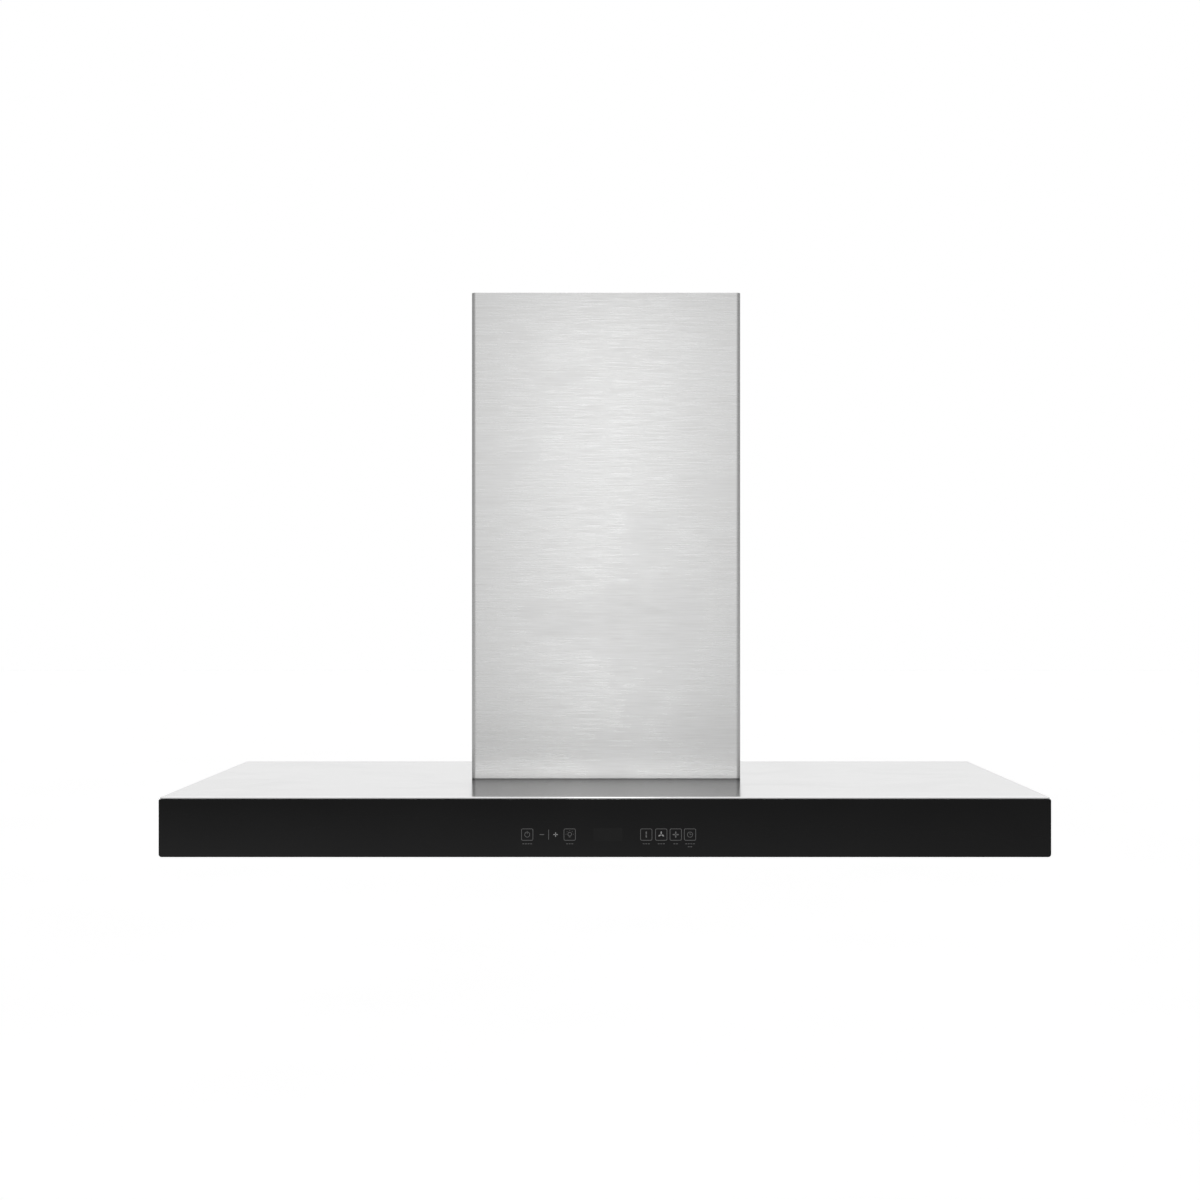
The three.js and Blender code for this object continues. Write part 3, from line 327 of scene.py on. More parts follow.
# %% Spangle
def spangle_group():
    tree, given, made = shader_group("Spangle", {"Cells": 110.0}, ["Shade", "Mottle"])
    place = object_place(tree)
    cells = add_node(tree, "ShaderNodeTexVoronoi", {"Vector": place, "Scale": given["Cells"]})
    shade = add_node(tree, "ShaderNodeSeparateColor", {"Color": cells.outputs["Color"]}).outputs["Red"]
    tree.links.new(shade, made.inputs["Shade"])
    tree.links.new(remap(tree, noise(tree, place, 22.0, 4.0), 0.3, 0.7), made.inputs["Mottle"])
    return tree


spangle = spangle_group()

# %% [markdown]
# **Moulded grain.** A mould's etched face leaves tiny pits in plastic, and a casting comes out a
# little lumpy. Fine noise gives both, at two sizes.

# %% Moulded grain
def moulded_grain_group():
    tree, given, made = shader_group("Moulded grain", {"Grain Scale": 1400.0}, ["Grain", "Flow"])
    place = object_place(tree)
    tree.links.new(noise(tree, place, given["Grain Scale"], 2.0), made.inputs["Grain"])
    tree.links.new(remap(tree, noise(tree, place, 14.0, 3.0), 0.3, 0.7), made.inputs["Flow"])
    return tree


moulded_grain = moulded_grain_group()
print("groups:", [tree.name for tree in bpy.data.node_groups])

# %% [markdown]
# ## Finishes
#
# Each finish is one material with one Principled shader. A number that is the same all over goes on
# the shader's own socket. Colour, roughness and height change over the surface and come from nodes.

# %% A material with its plain values set
def new_finish(name, **values):
    material = bpy.data.materials.new(name)
    material.use_nodes = True
    tree = material.node_tree
    shader = tree.nodes["Principled BSDF"]
    for socket, value in values.items():
        shader.inputs[socket.replace("_", " ")].default_value = value
    return material, tree, shader


def add_relief(tree, shader, height, distance, strength=1.0):
    """Feeds a height, 0 to 1, through a Bump node. Distance is its depth in metres."""
    values = {"Height": height, "Distance": distance, "Strength": strength}
    bump = add_node(tree, "ShaderNodeBump", values)
    tree.links.new(bump.outputs["Normal"], shader.inputs["Normal"])


# %% [markdown]
# **Stainless steel.** The sheet is the same all over the hood, but its brushing is not. The chimney
# is brushed crosswise with visible streaks, the canopy's top is almost a mirror, and the filters
# are drawn along their channels. One function makes all of them from a scale for the scratches.
#
# Along its foot a cover has a painted shade: its colour darkens towards the foot, in place of the
# shadow where it stands on the canopy. Plain mirroring made the cover's image in the canopy's top far
# too bright, so Light Path darkens the lowest part of the cover for mirror rays only, a painted shade
# in its reflection. That is a stage effect, and no property of steel.

# %% Stainless steel
FOOT_SHADE_BAND = 0.009      # height of the painted shade along the foot of a cover
# how dark the painted shade is at the very foot
FOOT_SHADE_STRENGTH = 0.22
MIRRORED_BAND = 0.120  # height over which a cover looks darker in the canopy's top than by itself
MIRRORED_LOSS = (0.60, 0.05)    # at the foot, and at the top of that band
WORN_SHADE = 0.86


def stainless(name, fine, bands, shades, roughness, relief, wear=0.0006, foot=None, **values):
    material, tree, shader = new_finish(name, Metallic=1.0, **values)
    grain = place_group(tree, brushed_grain, Fine_Scale=fine, Band_Scale=bands)
    marks = place_group(tree, smudges, Size=7.0)["Mask"]
    worn = place_group(tree, edge_wear, Width=wear, Breakup=160.0)["Mask"]
    dark, light = shades
    tone = calculate(tree, "MULTIPLY", grain["Bands"], 0.25)
    tone = calculate(tree, "MULTIPLY_ADD", grain["Streaks"], 0.60, tone)
    tone = calculate(tree, "MULTIPLY_ADD", grain["Patches"], 0.15, tone)
    color = blend_colors(tree, tone, dark, light)
    color = blend_colors(tree, calculate(tree, "MULTIPLY", worn, 0.6), color, grey(WORN_SHADE))
    if foot is not None:
        # Painted shade: the base colour darkens towards black along the foot, and for mirror rays darker
        # still and higher up.
        height = add_node(tree, "ShaderNodeSeparateXYZ", {"Vector": object_place(tree)}).outputs["Z"]
        foot_shade = remap(tree, height, foot, foot + FOOT_SHADE_BAND, 1.0, 0.0)
        foot_shade = calculate(tree, "MULTIPLY", calculate(tree, "POWER", foot_shade, 2.0), FOOT_SHADE_STRENGTH)
        mirrored = add_node(tree, "ShaderNodeLightPath").outputs["Is Glossy Ray"]
        loss = remap(tree, height, foot, foot + MIRRORED_BAND, *MIRRORED_LOSS)
        painted_darkening = calculate(tree, "MULTIPLY_ADD", mirrored, loss, foot_shade, clamp=True)
        color = blend_colors(tree, painted_darkening, color, grey(0.0))
    tree.links.new(color, shader.inputs["Base Color"])
    low, high = roughness
    gloss = remap(tree, grain["Streaks"], 0.0, 1.0, high, low)
    gloss = calculate(tree, "MULTIPLY_ADD", marks, 0.05, gloss)
    gloss = calculate(tree, "MULTIPLY_ADD", worn, -0.08, gloss, clamp=True)
    tree.links.new(gloss, shader.inputs["Roughness"])
    add_relief(tree, shader, grain["Streaks"], relief)
    return material


finishes = {}
finishes["chimney_steel"] = stainless(
    "chimney_brushed_steel",
    fine=(26.0, 26.0, 950.0),
    bands=(5.0, 5.0, 210.0),
    shades=(grey(0.55, (1.0, 0.995, 0.985)), grey(0.65, (0.995, 1.0, 1.0))),
    roughness=(0.25, 0.32),
    relief=0.000005,
    foot=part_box("lower_chimney")[0].z,
    Anisotropic=0.7,
)
finishes["canopy_steel"] = stainless(
    "canopy_satin_steel",
    fine=(14.0, 700.0, 700.0),
    bands=(2.0, 90.0, 90.0),
    shades=(grey(0.74), grey(0.84)),
    roughness=(0.13, 0.18),
    relief=0.000002,
)
finishes["filter_steel"] = stainless(
    "filter_brushed_steel",
    fine=(900.0, 22.0, 900.0),
    bands=(120.0, 3.0, 120.0),
    shades=(grey(0.50), grey(0.66)),
    roughness=(0.22, 0.34),
    relief=0.000006,
)
finishes["polished_steel"] = stainless(
    "polished_steel",
    fine=(160.0, 160.0, 160.0),
    bands=(40.0, 40.0, 40.0),
    shades=(grey(0.66), grey(0.76)),
    roughness=(0.08, 0.14),
    relief=0.000001,
    wear=0.0003,
)
finishes["turned_steel"] = stainless(
    "turned_steel",
    fine=(1400.0, 30.0, 30.0),
    bands=(300.0, 20.0, 20.0),
    shades=(grey(0.46), grey(0.60)),
    roughness=(0.20, 0.30),
    relief=0.000004,
    wear=0.0003,
)

# %% [markdown]
# **Zinc-coated steel** covers the motor box and the blower's housing. Its crystals differ in shade
# and in gloss, and its cut edges are brighter.

# %% Zinc-coated steel
def zinc_coated():
    material, tree, shader = new_finish("zinc_coated_steel", Metallic=1.0)
    crystals = place_group(tree, spangle, Cells=120.0)
    worn = place_group(tree, edge_wear, Width=0.0006, Breakup=200.0)["Mask"]
    tone = calculate(tree, "MULTIPLY", crystals["Mottle"], 0.4)
    tone = calculate(tree, "MULTIPLY_ADD", crystals["Shade"], 0.6, tone)
    color = blend_colors(tree, tone, grey(0.36, (0.96, 0.99, 1.03)), grey(0.54, (0.98, 1.0, 1.02)))
    color = blend_colors(tree, calculate(tree, "MULTIPLY", worn, 0.7), color, grey(0.78))
    tree.links.new(color, shader.inputs["Base Color"])
    gloss = remap(tree, crystals["Shade"], 0.0, 1.0, 0.36, 0.52)
    gloss = calculate(tree, "MULTIPLY_ADD", crystals["Mottle"], 0.06, gloss)
    tree.links.new(gloss, shader.inputs["Roughness"])
    add_relief(tree, shader, crystals["Shade"], 0.00001)
    return material


finishes["zinc_steel"] = zinc_coated()

# %% [markdown]
# **Cast aluminium and plastics.** A casting is dull with a fine pitted skin. Moulded plastic has an
# even grain, and its edges catch a little more light where they rub.

# %% Cast aluminium and plastics
def moulded(name, dark, light, roughness, grain_scale=1400.0, depth=0.00002, **values):
    material, tree, shader = new_finish(name, **values)
    grain = place_group(tree, moulded_grain, Grain_Scale=grain_scale)
    worn = place_group(tree, edge_wear, Width=0.0005, Breakup=220.0)["Mask"]
    color = blend_colors(tree, grain["Flow"], dark, light)
    lighter = tuple(min(1.0, channel * 1.5 + 0.02) for channel in light[:3]) + (1.0,)
    color = blend_colors(tree, calculate(tree, "MULTIPLY", worn, 0.5), color, lighter)
    tree.links.new(color, shader.inputs["Base Color"])
    low, high = roughness
    tree.links.new(remap(tree, grain["Grain"], 0.3, 0.7, low, high), shader.inputs["Roughness"])
    add_relief(tree, shader, grain["Grain"], depth)
    return material


finishes["cast_aluminium"] = moulded(
    "cast_aluminium", grey(0.40), grey(0.52), (0.38, 0.55), grain_scale=700.0, depth=0.00006, Metallic=1.0
)
finishes["black_plastic"] = moulded("black_plastic", grey(0.012), grey(0.020), (0.42, 0.56))
finishes["grey_plastic"] = moulded("grey_plastic", grey(0.24), grey(0.29), (0.45, 0.58))
IVORY = (1.0, 0.99, 0.96)
LEAD_TINT = (1.0, 0.99, 0.95)
finishes["white_plastic"] = moulded("white_plastic", grey(0.72, IVORY), grey(0.80, IVORY), (0.35, 0.48))
finishes["lead_pvc"] = moulded(
    "lead_pvc", grey(0.58, LEAD_TINT), grey(0.66, LEAD_TINT), (0.42, 0.55), depth=0.00001
)
finishes["foam_tape"] = moulded(
    "foam_tape", grey(0.018), grey(0.045), (0.80, 0.95), grain_scale=2600.0, depth=0.00015
)

# %% [markdown]
# ** Black glass.** The glass is painted black on its back, so its face is a clean dark mirror with a
# faint film on it. Its colour carries a painted reflection: a little lighter towards the lower edge,
# and more so at the left, over a faint random unevenness of the paint.

# %% Black glass
def black_glass():
    material, tree, shader = new_finish("black_glass", Specular_IOR_Level=0.17)
    film = place_group(tree, smudges, Size=5.0)["Mask"]
    flow = place_group(tree, moulded_grain, Grain_Scale=300.0)["Flow"]
    low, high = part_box("front_glass")
    axes = add_node(tree, "ShaderNodeSeparateXYZ", {"Vector": object_place(tree)}).outputs
    # Painted reflection: lighter towards the lower edge and the left, plus a random flow in the paint.
    painted_reflection_downwards = remap(tree, axes["Z"], high.z, low.z)
    painted_reflection_leftwards = remap(tree, axes["X"], high.x, low.x, 0.35, 1.0)
    depth = calculate(tree, "MULTIPLY", painted_reflection_downwards, painted_reflection_leftwards)
    depth = calculate(tree, "MULTIPLY_ADD", flow, 0.12, depth, clamp=True)
    color = blend_colors(tree, depth, (0.0015, 0.0015, 0.0016, 1), (0.0110, 0.0110, 0.0112, 1))
    tree.links.new(color, shader.inputs["Base Color"])
    tree.links.new(remap(tree, film, 0.0, 1.0, 0.055, 0.10), shader.inputs["Roughness"])
    add_relief(tree, shader, flow, 0.000004)
    return material


finishes["black_glass"] = black_glass()

# %% [markdown]
# **Lamp glass** is frosted and hides small rows of light diodes, which show as faint warm dots.

# %% Lamp glass
def lamp_glass():
    material, tree, shader = new_finish("frosted_lamp_glass", Coat_Weight=0.6, Coat_Roughness=0.05)
    values = {"Vector": object_place(tree), "Scale": 160.0, "Randomness": 0.0}
    dots = add_node(tree, "ShaderNodeTexVoronoi", values)
    glow = remap(tree, dots.outputs["Distance"], 0.45, 0.15)
    color = blend_colors(tree, glow, (0.74, 0.75, 0.75, 1), (0.92, 0.86, 0.62, 1))
    tree.links.new(color, shader.inputs["Base Color"])
    film = place_group(tree, moulded_grain, Grain_Scale=2200.0)
    tree.links.new(remap(tree, film["Grain"], 0.3, 0.7, 0.30, 0.42), shader.inputs["Roughness"])
    add_relief(tree, shader, film["Grain"], 0.00002)
    return material


finishes["lamp_glass"] = lamp_glass()

# %% [markdown]
# **Circuit board.** Green lacquer lies over straight copper tracks. Stretched square cells give a
# net of tracks, a touch lighter than the board.

# %% Circuit board
def circuit_board():
    material, tree, shader = new_finish("circuit_board", Coat_Weight=0.4, Coat_Roughness=0.15)
    values = {"Vector": object_place(tree), "Scale": 190.0, "Randomness": 1.0}
    cells = add_node(tree, "ShaderNodeTexVoronoi", values, distance="MANHATTAN", feature="F1")
    tracks = remap(tree, cells.outputs["Distance"], 0.55, 0.60)
    color = blend_colors(tree, tracks, (0.010, 0.075, 0.030, 1), (0.035, 0.170, 0.070, 1))
    tree.links.new(color, shader.inputs["Base Color"])
    tree.links.new(remap(tree, tracks, 0.0, 1.0, 0.42, 0.30), shader.inputs["Roughness"])
    add_relief(tree, shader, tracks, 0.00004)
    return material


finishes["circuit_board"] = circuit_board()
print("finishes:", sorted(finishes))

# %% [markdown]
# Every CAD node gets the finish of its material slot. The pieces that follow take the place of the
# nodes whose edges, folds or printing deserve more than the plain solid has.

# %% Finishes on the CAD nodes
for node_name, node in frame["nodes"].items():
    node.data.materials.clear()
    node.data.materials.append(finishes[slot_of[node_name]])
print("CAD nodes with a finish:", len(frame["nodes"]))

# %% [markdown]
# ## From a bmesh to a piece
#
# Every new piece goes through the same last steps: its mesh is stored with its place in it, smooth
# faces meet in crisp edges above a given angle, it takes the finish of the slot it belongs to, and
# it rides on the body of the CAD node it stands for. Sheet metal is drawn as the middle of the
# sheet, and a Solidify modifier, applied at once, gives it its thickness, so that every bend comes
# out even. At a free corner the even offset can throw a point a little too far, so every point is
# then held within the CAD node's box. Weighted normals keep the wide flat faces flat beside their
# narrow bends.

# %% Helpers for pieces
SHEET = 0.001
SHARP_FOLD = math.radians(60)      # a fold that is turned by more than this gets its bend


def box_middle(node):
    low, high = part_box(node)
    return (low + high) / 2


def half_width(node):
    low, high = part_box(node)
    return (high.x - low.x) / 2


def thickened(mesh, thickness):
    """The mesh of a drawn middle surface with its sheet thickness, half to each side."""
    carrier = bpy.data.objects.new("carrier", mesh)
    scene.collection.objects.link(carrier)
    solidify = carrier.modifiers.new("sheet", "SOLIDIFY")
    solidify.thickness = thickness
    solidify.offset = 0.0
    solidify.use_even_offset = True
    solid = bpy.data.meshes.new_from_object(carrier.evaluated_get(bpy.context.evaluated_depsgraph_get()))
    bpy.data.objects.remove(carrier)
    return solid


def make_piece(bm, name, node, thickness=None, finish=None, stands_for=True, smooth_angle=35):
    mesh = bpy.data.meshes.new(name)
    bm.to_mesh(mesh)
    bm.free()
    if thickness:
        mesh = thickened(mesh, thickness)
        mesh.name = name
        low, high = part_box(node)
        for vert in mesh.vertices:
            vert.co = [min(max(value, a), b) for value, a, b in zip(vert.co, low, high)]
    mesh.shade_smooth()
    mesh.set_sharp_from_angle(angle=math.radians(smooth_angle))
    mesh.materials.append(finish or finishes[slot_of[node]])
    piece = bpy.data.objects.new(name, mesh)
    scene.collection.objects.link(piece)
    flat_faces = piece.modifiers.new("flat faces stay flat", "WEIGHTED_NORMAL")
    flat_faces.weight = 80
    flat_faces.keep_sharp = True
    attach(piece, body_of[node])
    if stands_for:
        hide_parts(node)
    return piece


def new_verts(made, key="geom"):
    return [item for item in made[key] if isinstance(item, bmesh.types.BMVert)]


def bevel_edges(bm, edges, radius, segments=3):
    bmesh.ops.bevel(
        bm, geom=edges, offset=radius, offset_type="OFFSET", affect="EDGES",
        segments=segments, profile=0.5, material=-1, clamp_overlap=True,
    )


def add_box(bm, low, high):
    """A closed box between two corners."""
    low, high = Vector(low), Vector(high)
    place = Matrix.Translation((low + high) / 2) @ Matrix.Diagonal((*(high - low), 1.0))
    return bmesh.ops.create_cube(bm, size=1.0, matrix=place)["verts"]


def runs_along(edge, axis, tolerance=1e-6):
    """True if an edge is parallel to an axis: 0 for X, 1 for Y and 2 for Z."""
    run = edge.verts[1].co - edge.verts[0].co
    return all(abs(run[other]) < tolerance for other in range(3) if other != axis)


def edges_of(verts):
    """Each edge at these points once. A dict keeps its order, which a set does not."""
    return list(dict.fromkeys(edge for vert in verts for edge in vert.link_edges))


def cut_window(bm, faces, axes, low, high):
    """Cuts a rectangle out of flat faces. Axes are the two it is measured along."""
    faces = [face for face in faces if face.is_valid]
    for axis, a, b in zip(axes, low, high):
        for level in (a, b):
            normal = Vector([1.0 if index == axis else 0.0 for index in range(3)])
            geom = list(faces)
            for face in faces:
                geom += [*face.edges, *face.verts]
            cut = bmesh.ops.bisect_plane(
                bm, geom=list(dict.fromkeys(geom)), dist=1e-7, plane_co=normal * level, plane_no=normal,
            )
            faces = [item for item in cut["geom"] if isinstance(item, bmesh.types.BMFace)]
    inside = [
        face for face in faces
        if all(a < face.calc_center_median()[axis] < b for axis, a, b in zip(axes, low, high))
    ]
    kept = [face for face in faces if face not in inside]
    bmesh.ops.delete(bm, geom=inside, context="FACES")
    return kept


# %% [markdown]
# ## The chimney's covers
#
# Each cover is one sheet, folded round the front and the sides, with a narrow flange turned in
# along the wall. Its outline is six points. Extruded upwards and bevelled at the four folds it has
# the soft corners that draw a thin bright and dark line down each side of the front.

# %% Chimney covers
COVER_BEND = 0.0045    # middle of the sheet, so 5 mm outside
UPPER_BEND = COVER_BEND - 0.0016    # the upper cover slides inside the lower one
WALL_BEND = 0.0015
COVER_FLANGE = 0.012


def upright_folds(bm):
    return [edge for edge in bm.edges if runs_along(edge, 2) and len(edge.link_faces) == 2]


def folded_cover(node, bend):
    low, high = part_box(node)
    half = high.x - SHEET / 2
    front = low.y + SHEET / 2
    back = high.y - SHEET / 2
    inner = half - COVER_FLANGE
    outline = [(-inner, back), (-half, back), (-half, front), (half, front), (half, back), (inner, back)]
    bm = bmesh.new()
    verts = [bm.verts.new((x, y, low.z)) for x, y in outline]
    edges = [bm.edges.new(pair) for pair in zip(verts, verts[1:])]
    raised = bmesh.ops.extrude_edge_only(bm, edges=edges)
    bmesh.ops.translate(bm, verts=new_verts(raised), vec=(0, 0, high.z - low.z))
    bevel_edges(bm, [edge for edge in upright_folds(bm) if edge.verts[0].co.y > back - SHEET], WALL_BEND)
    front_folds = [edge for edge in upright_folds(bm) if edge.verts[0].co.y < front + SHEET]
    bevel_edges(bm, front_folds, bend, segments=10)
    return bm


lower_cover = make_piece(folded_cover("lower_chimney", COVER_BEND), "lower_cover", "lower_chimney", SHEET)
print("lower cover faces:", len(lower_cover.data.polygons))

# %% [markdown]
# The upper cover is the same sheet, a little narrower, with six slots on each side near its top.
# They let air out when the hood cleans the air and blows it back into the room.

# %% Upper cover with its slots
SLOT_COUNT = 6
SLOT_LENGTH = 0.090
SLOT_HEIGHT = 0.004
SLOT_PITCH = 0.012
SLOT_DROP = 0.050


def slotted_cover(node, bend):
    low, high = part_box(node)
    bm = folded_cover(node, bend)
    middle = (low.y + high.y) / 2
    for side in (-1, 1):
        faces = [face for face in bm.faces if face.calc_center_median().x * side > high.x - SHEET]
        for index in range(SLOT_COUNT):
            top = high.z - SLOT_DROP - index * SLOT_PITCH
            faces = cut_window(
                bm, faces, (1, 2),
                (middle - SLOT_LENGTH / 2, top - SLOT_HEIGHT), (middle + SLOT_LENGTH / 2, top),
            )
    return bm


upper_cover = make_piece(slotted_cover("upper_chimney", UPPER_BEND), "upper_cover", "upper_chimney", SHEET)
print("upper cover faces:", len(upper_cover.data.polygons))

# %% [markdown]
# ## The canopy
#
# The canopy is a shallow tray turned upside down: a top, two sides and a back in one sheet, with a
# flange turned in below. Its front edge is folded back under itself. That hem is the thin bright
# line above the glass. A second sheet closes the tray behind the glass and has a window for the
# touch controls.

# %% Canopy
CANOPY_BEND = 0.0012
CANOPY_FLANGE = 0.012
HEM_DEPTH = 0.009
TAPE_GAP = 0.0003
front_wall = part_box("glass_tape_upper")[1].y + TAPE_GAP
touch_low, touch_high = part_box("touch_carrier")
TOUCH_FLANGE = 0.006
air_low, air_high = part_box("motor_box")
AIR_HOLE_MARGIN = 0.005
BOX_FOOT = 0.005


def canopy_tray():
    low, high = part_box("canopy_shell")
    side, back, top, bottom = high.x - SHEET / 2, -SHEET / 2, high.z - SHEET / 2, low.z + SHEET / 2
    bm = bmesh.new()
    add_box(bm, (-side, front_wall, bottom), (side, back, top))
    bm.faces.ensure_lookup_table()
    open_faces = [face for face in bm.faces if face.normal.z < -0.9 or face.normal.y < -0.9]
    bmesh.ops.delete(bm, geom=open_faces, context="FACES_ONLY")
    loose = [edge for edge in bm.edges if not edge.link_faces]
    bmesh.ops.delete(bm, geom=loose, context="EDGES")

    rim = [edge for edge in bm.edges if all(vert.co.z < 0 for vert in edge.verts) and not runs_along(edge, 2)]
    turned_in = bmesh.ops.extrude_edge_only(bm, edges=rim)
    for vert in new_verts(turned_in):
        vert.co.x -= math.copysign(CANOPY_FLANGE, vert.co.x)
        if vert.co.y > back - SHEET:
            vert.co.y -= CANOPY_FLANGE

    hem_centre = Vector((0, low.y + SHEET, high.z - SHEET))
    front_edge = [
        edge for edge in bm.edges
        if runs_along(edge, 0)
        and all(vert.co.y < front_wall + SHEET and vert.co.z > 0 for vert in edge.verts)
    ]
    lip = bmesh.ops.extrude_edge_only(bm, edges=front_edge)
    bmesh.ops.translate(bm, verts=new_verts(lip), vec=(0, hem_centre.y - front_wall, 0))
    nose = bmesh.ops.spin(
        bm, geom=[item for item in lip["geom"] if not isinstance(item, bmesh.types.BMFace)],
        cent=hem_centre, axis=(1, 0, 0), angle=math.pi, steps=8, use_duplicate=False,
    )
    last = [item for item in nose["geom_last"] if isinstance(item, bmesh.types.BMEdge)]
    tail = bmesh.ops.extrude_edge_only(bm, edges=last)
    bmesh.ops.translate(bm, verts=new_verts(tail), vec=(0, HEM_DEPTH - SHEET, 0))

    top_faces = [
        face for face in bm.faces
        if abs(face.normal.z) > 0.9 and face.calc_center_median().z > top - SHEET / 4
    ]
    cut_window(
        bm, top_faces, (0, 1),
        (air_low.x + BOX_FOOT + AIR_HOLE_MARGIN, air_low.y + AIR_HOLE_MARGIN),
        (air_high.x - BOX_FOOT - AIR_HOLE_MARGIN, air_high.y - AIR_HOLE_MARGIN),
    )
    bends = [
        edge for edge in bm.edges
        if len(edge.link_faces) == 2 and edge.calc_face_angle() > SHARP_FOLD
    ]
    bevel_edges(bm, bends, CANOPY_BEND, segments=4)

    wall_y = front_wall + SHEET / 2
    wall = bmesh.ops.create_grid(bm, x_segments=1, y_segments=1, size=0.5)["verts"]
    wall_middle = Matrix.Translation((0, wall_y, (bottom + top - SHEET) / 2))
    stand = wall_middle @ Matrix.Rotation(math.radians(90), 4, "X")
    width_height = Matrix.Diagonal((2 * side - 2 * SHEET, top - SHEET - bottom, 1, 1))
    bmesh.ops.transform(bm, matrix=stand @ width_height, verts=wall)
    foot = [edge for edge in edges_of(wall) if all(vert.co.z < 0 for vert in edge.verts)]
    turned_back = bmesh.ops.extrude_edge_only(bm, edges=foot)
    bmesh.ops.translate(bm, verts=new_verts(turned_back), vec=(0, CANOPY_FLANGE, 0))
    wall_faces = [
        face for face in wall[0].link_faces
        if face.calc_center_median().y < wall_y + SHEET / 100
    ]
    cut_window(
        bm, wall_faces, (0, 2),
        (touch_low.x + TOUCH_FLANGE, touch_low.z + TOUCH_FLANGE),
        (touch_high.x - TOUCH_FLANGE, touch_high.z - TOUCH_FLANGE),
    )
    bmesh.ops.recalc_face_normals(bm, faces=bm.faces)
    return bm


canopy = make_piece(canopy_tray(), "canopy_tray", "canopy_shell", SHEET)
print("canopy faces:", len(canopy.data.polygons))

# %% [markdown]
# ## The glass and its touch marks
#
# A glass front is cut from a flat pane with a small polished chamfer all round, and its corners are
# rounded. The marks of the touch keys are printed. They are thin and grey, so they are flat shapes
# a few hundredths of a millimetre proud of the pane, and the pane is set back by as much, so that
# nothing leaves the hood's outline.

# %% Glass
PRINT_HEIGHT = 0.00003
UPPER_CORNER = 0.0015
LOWER_CORNER = 0.003
CHAMFER = 0.0004
glass_low, glass_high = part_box("front_glass")
pane_face = glass_low.y + PRINT_HEIGHT


def glass_pane():
    bm = bmesh.new()
    add_box(bm, (glass_low.x, pane_face, glass_low.z), glass_high)
    for above, radius in ((False, LOWER_CORNER), (True, UPPER_CORNER)):
        corners = [edge for edge in bm.edges if runs_along(edge, 1) and (edge.verts[0].co.z > 0) == above]
        corners = [edge for edge in corners if abs(edge.verts[0].co.x) > glass_high.x - 1e-6]
        bevel_edges(bm, corners, radius, segments=8)
    rims = [edge for edge in bm.edges if edge.calc_face_angle() > SHARP_FOLD]
    bevel_edges(bm, rims, CHAMFER, segments=2)
    return bm


glass = make_piece(glass_pane(), "glass_pane", "front_glass", smooth_angle=25)
print("glass faces:", len(glass.data.polygons))

# %% [markdown]
# The marks are rings, bars and discs. A ring is a flat disc or square whose middle is inset and
# taken away. Where a real hood has words under its keys, short plain dashes stand in for them.

# %% Printing ink
def printing_ink(name, shade, specular, roughness):
    material, tree, shader = new_finish(name, Specular_IOR_Level=specular)
    grain = place_group(tree, moulded_grain, Grain_Scale=2500.0)
    color = blend_colors(tree, grain["Grain"], grey(shade * 0.8), grey(shade * 1.2))
    tree.links.new(color, shader.inputs["Base Color"])
    tree.links.new(remap(tree, grain["Grain"], 0.3, 0.7, *roughness), shader.inputs["Roughness"])
    return material


ink = printing_ink("grey_ink", 0.110, 0.4, (0.35, 0.50))
bright_ink = printing_ink("bright_ink", 0.30, 0.4, (0.35, 0.50))
window_tint = printing_ink("display_window_tint", 0.0085, 0.17, (0.08, 0.13))

# %% Shapes of the marks
LINE = 0.0005
KEY_SIZE = 0.0120
KEY_CORNER = 0.0015
SIGN_RADIUS = 0.0029
RAY_REACH = 0.0036
DASH_PITCH, DASH_SIZE = 0.0026, (0.0018, 0.0006)


def flat_box(bm, x, z, width, height):
    """A flat bar in front of the pane."""
    made = bmesh.ops.create_grid(bm, x_segments=1, y_segments=1, size=0.5)["verts"]
    stand = Matrix.Translation((x, pane_face, z)) @ Matrix.Rotation(math.radians(90), 4, "X")
    bmesh.ops.transform(bm, matrix=stand @ Matrix.Diagonal((width, height, 1, 1)), verts=made)
    return made


def flat_disc(bm, x, z, radius, stretch=1.0, turn=0.0, segments=24):
    """A flat disc or, stretched, an ellipse, turned about its middle."""
    made = bmesh.ops.create_circle(bm, cap_ends=True, segments=segments, radius=radius)["verts"]
    stand = Matrix.Translation((x, pane_face, z)) @ Matrix.Rotation(math.radians(90), 4, "X")
    shape = Matrix.Rotation(turn, 4, "Z") @ Matrix.Diagonal((1, stretch, 1, 1))
    bmesh.ops.transform(bm, matrix=stand @ shape, verts=made)
    return made


def hollow_out(bm, verts, line=LINE):
    """Leaves a ring of a flat face, one line wide."""
    face = next(face for face in verts[0].link_faces)
    bmesh.ops.inset_individual(bm, faces=[face], thickness=line, depth=0)
    bmesh.ops.delete(bm, geom=[face], context="FACES_ONLY")


def key_frame(bm, x, z):
    verts = flat_box(bm, x, z, KEY_SIZE, KEY_SIZE)
    rounded = bmesh.ops.bevel(
        bm, geom=verts, offset=KEY_CORNER, offset_type="OFFSET", affect="VERTICES",
        segments=4, profile=0.5, material=-1,
    )
    hollow_out(bm, rounded["verts"])


def power_sign(bm, x, z):
    hollow_out(bm, flat_disc(bm, x, z, SIGN_RADIUS - 0.0001))
    flat_box(bm, x, z + 0.0020, LINE, 0.0030)


def lamp_sign(bm, x, z):
    bulb = z + 0.0004
    hollow_out(bm, flat_disc(bm, x, bulb, 0.0021))
    flat_box(bm, x, z - 0.0024, 0.0020, LINE)
    for turn in range(5):
        angle = math.radians(turn * 45)
        ray_x, ray_z = x + RAY_REACH * math.cos(angle), bulb + RAY_REACH * math.sin(angle)
        flat_disc(bm, ray_x, ray_z, 0.00035, segments=8)


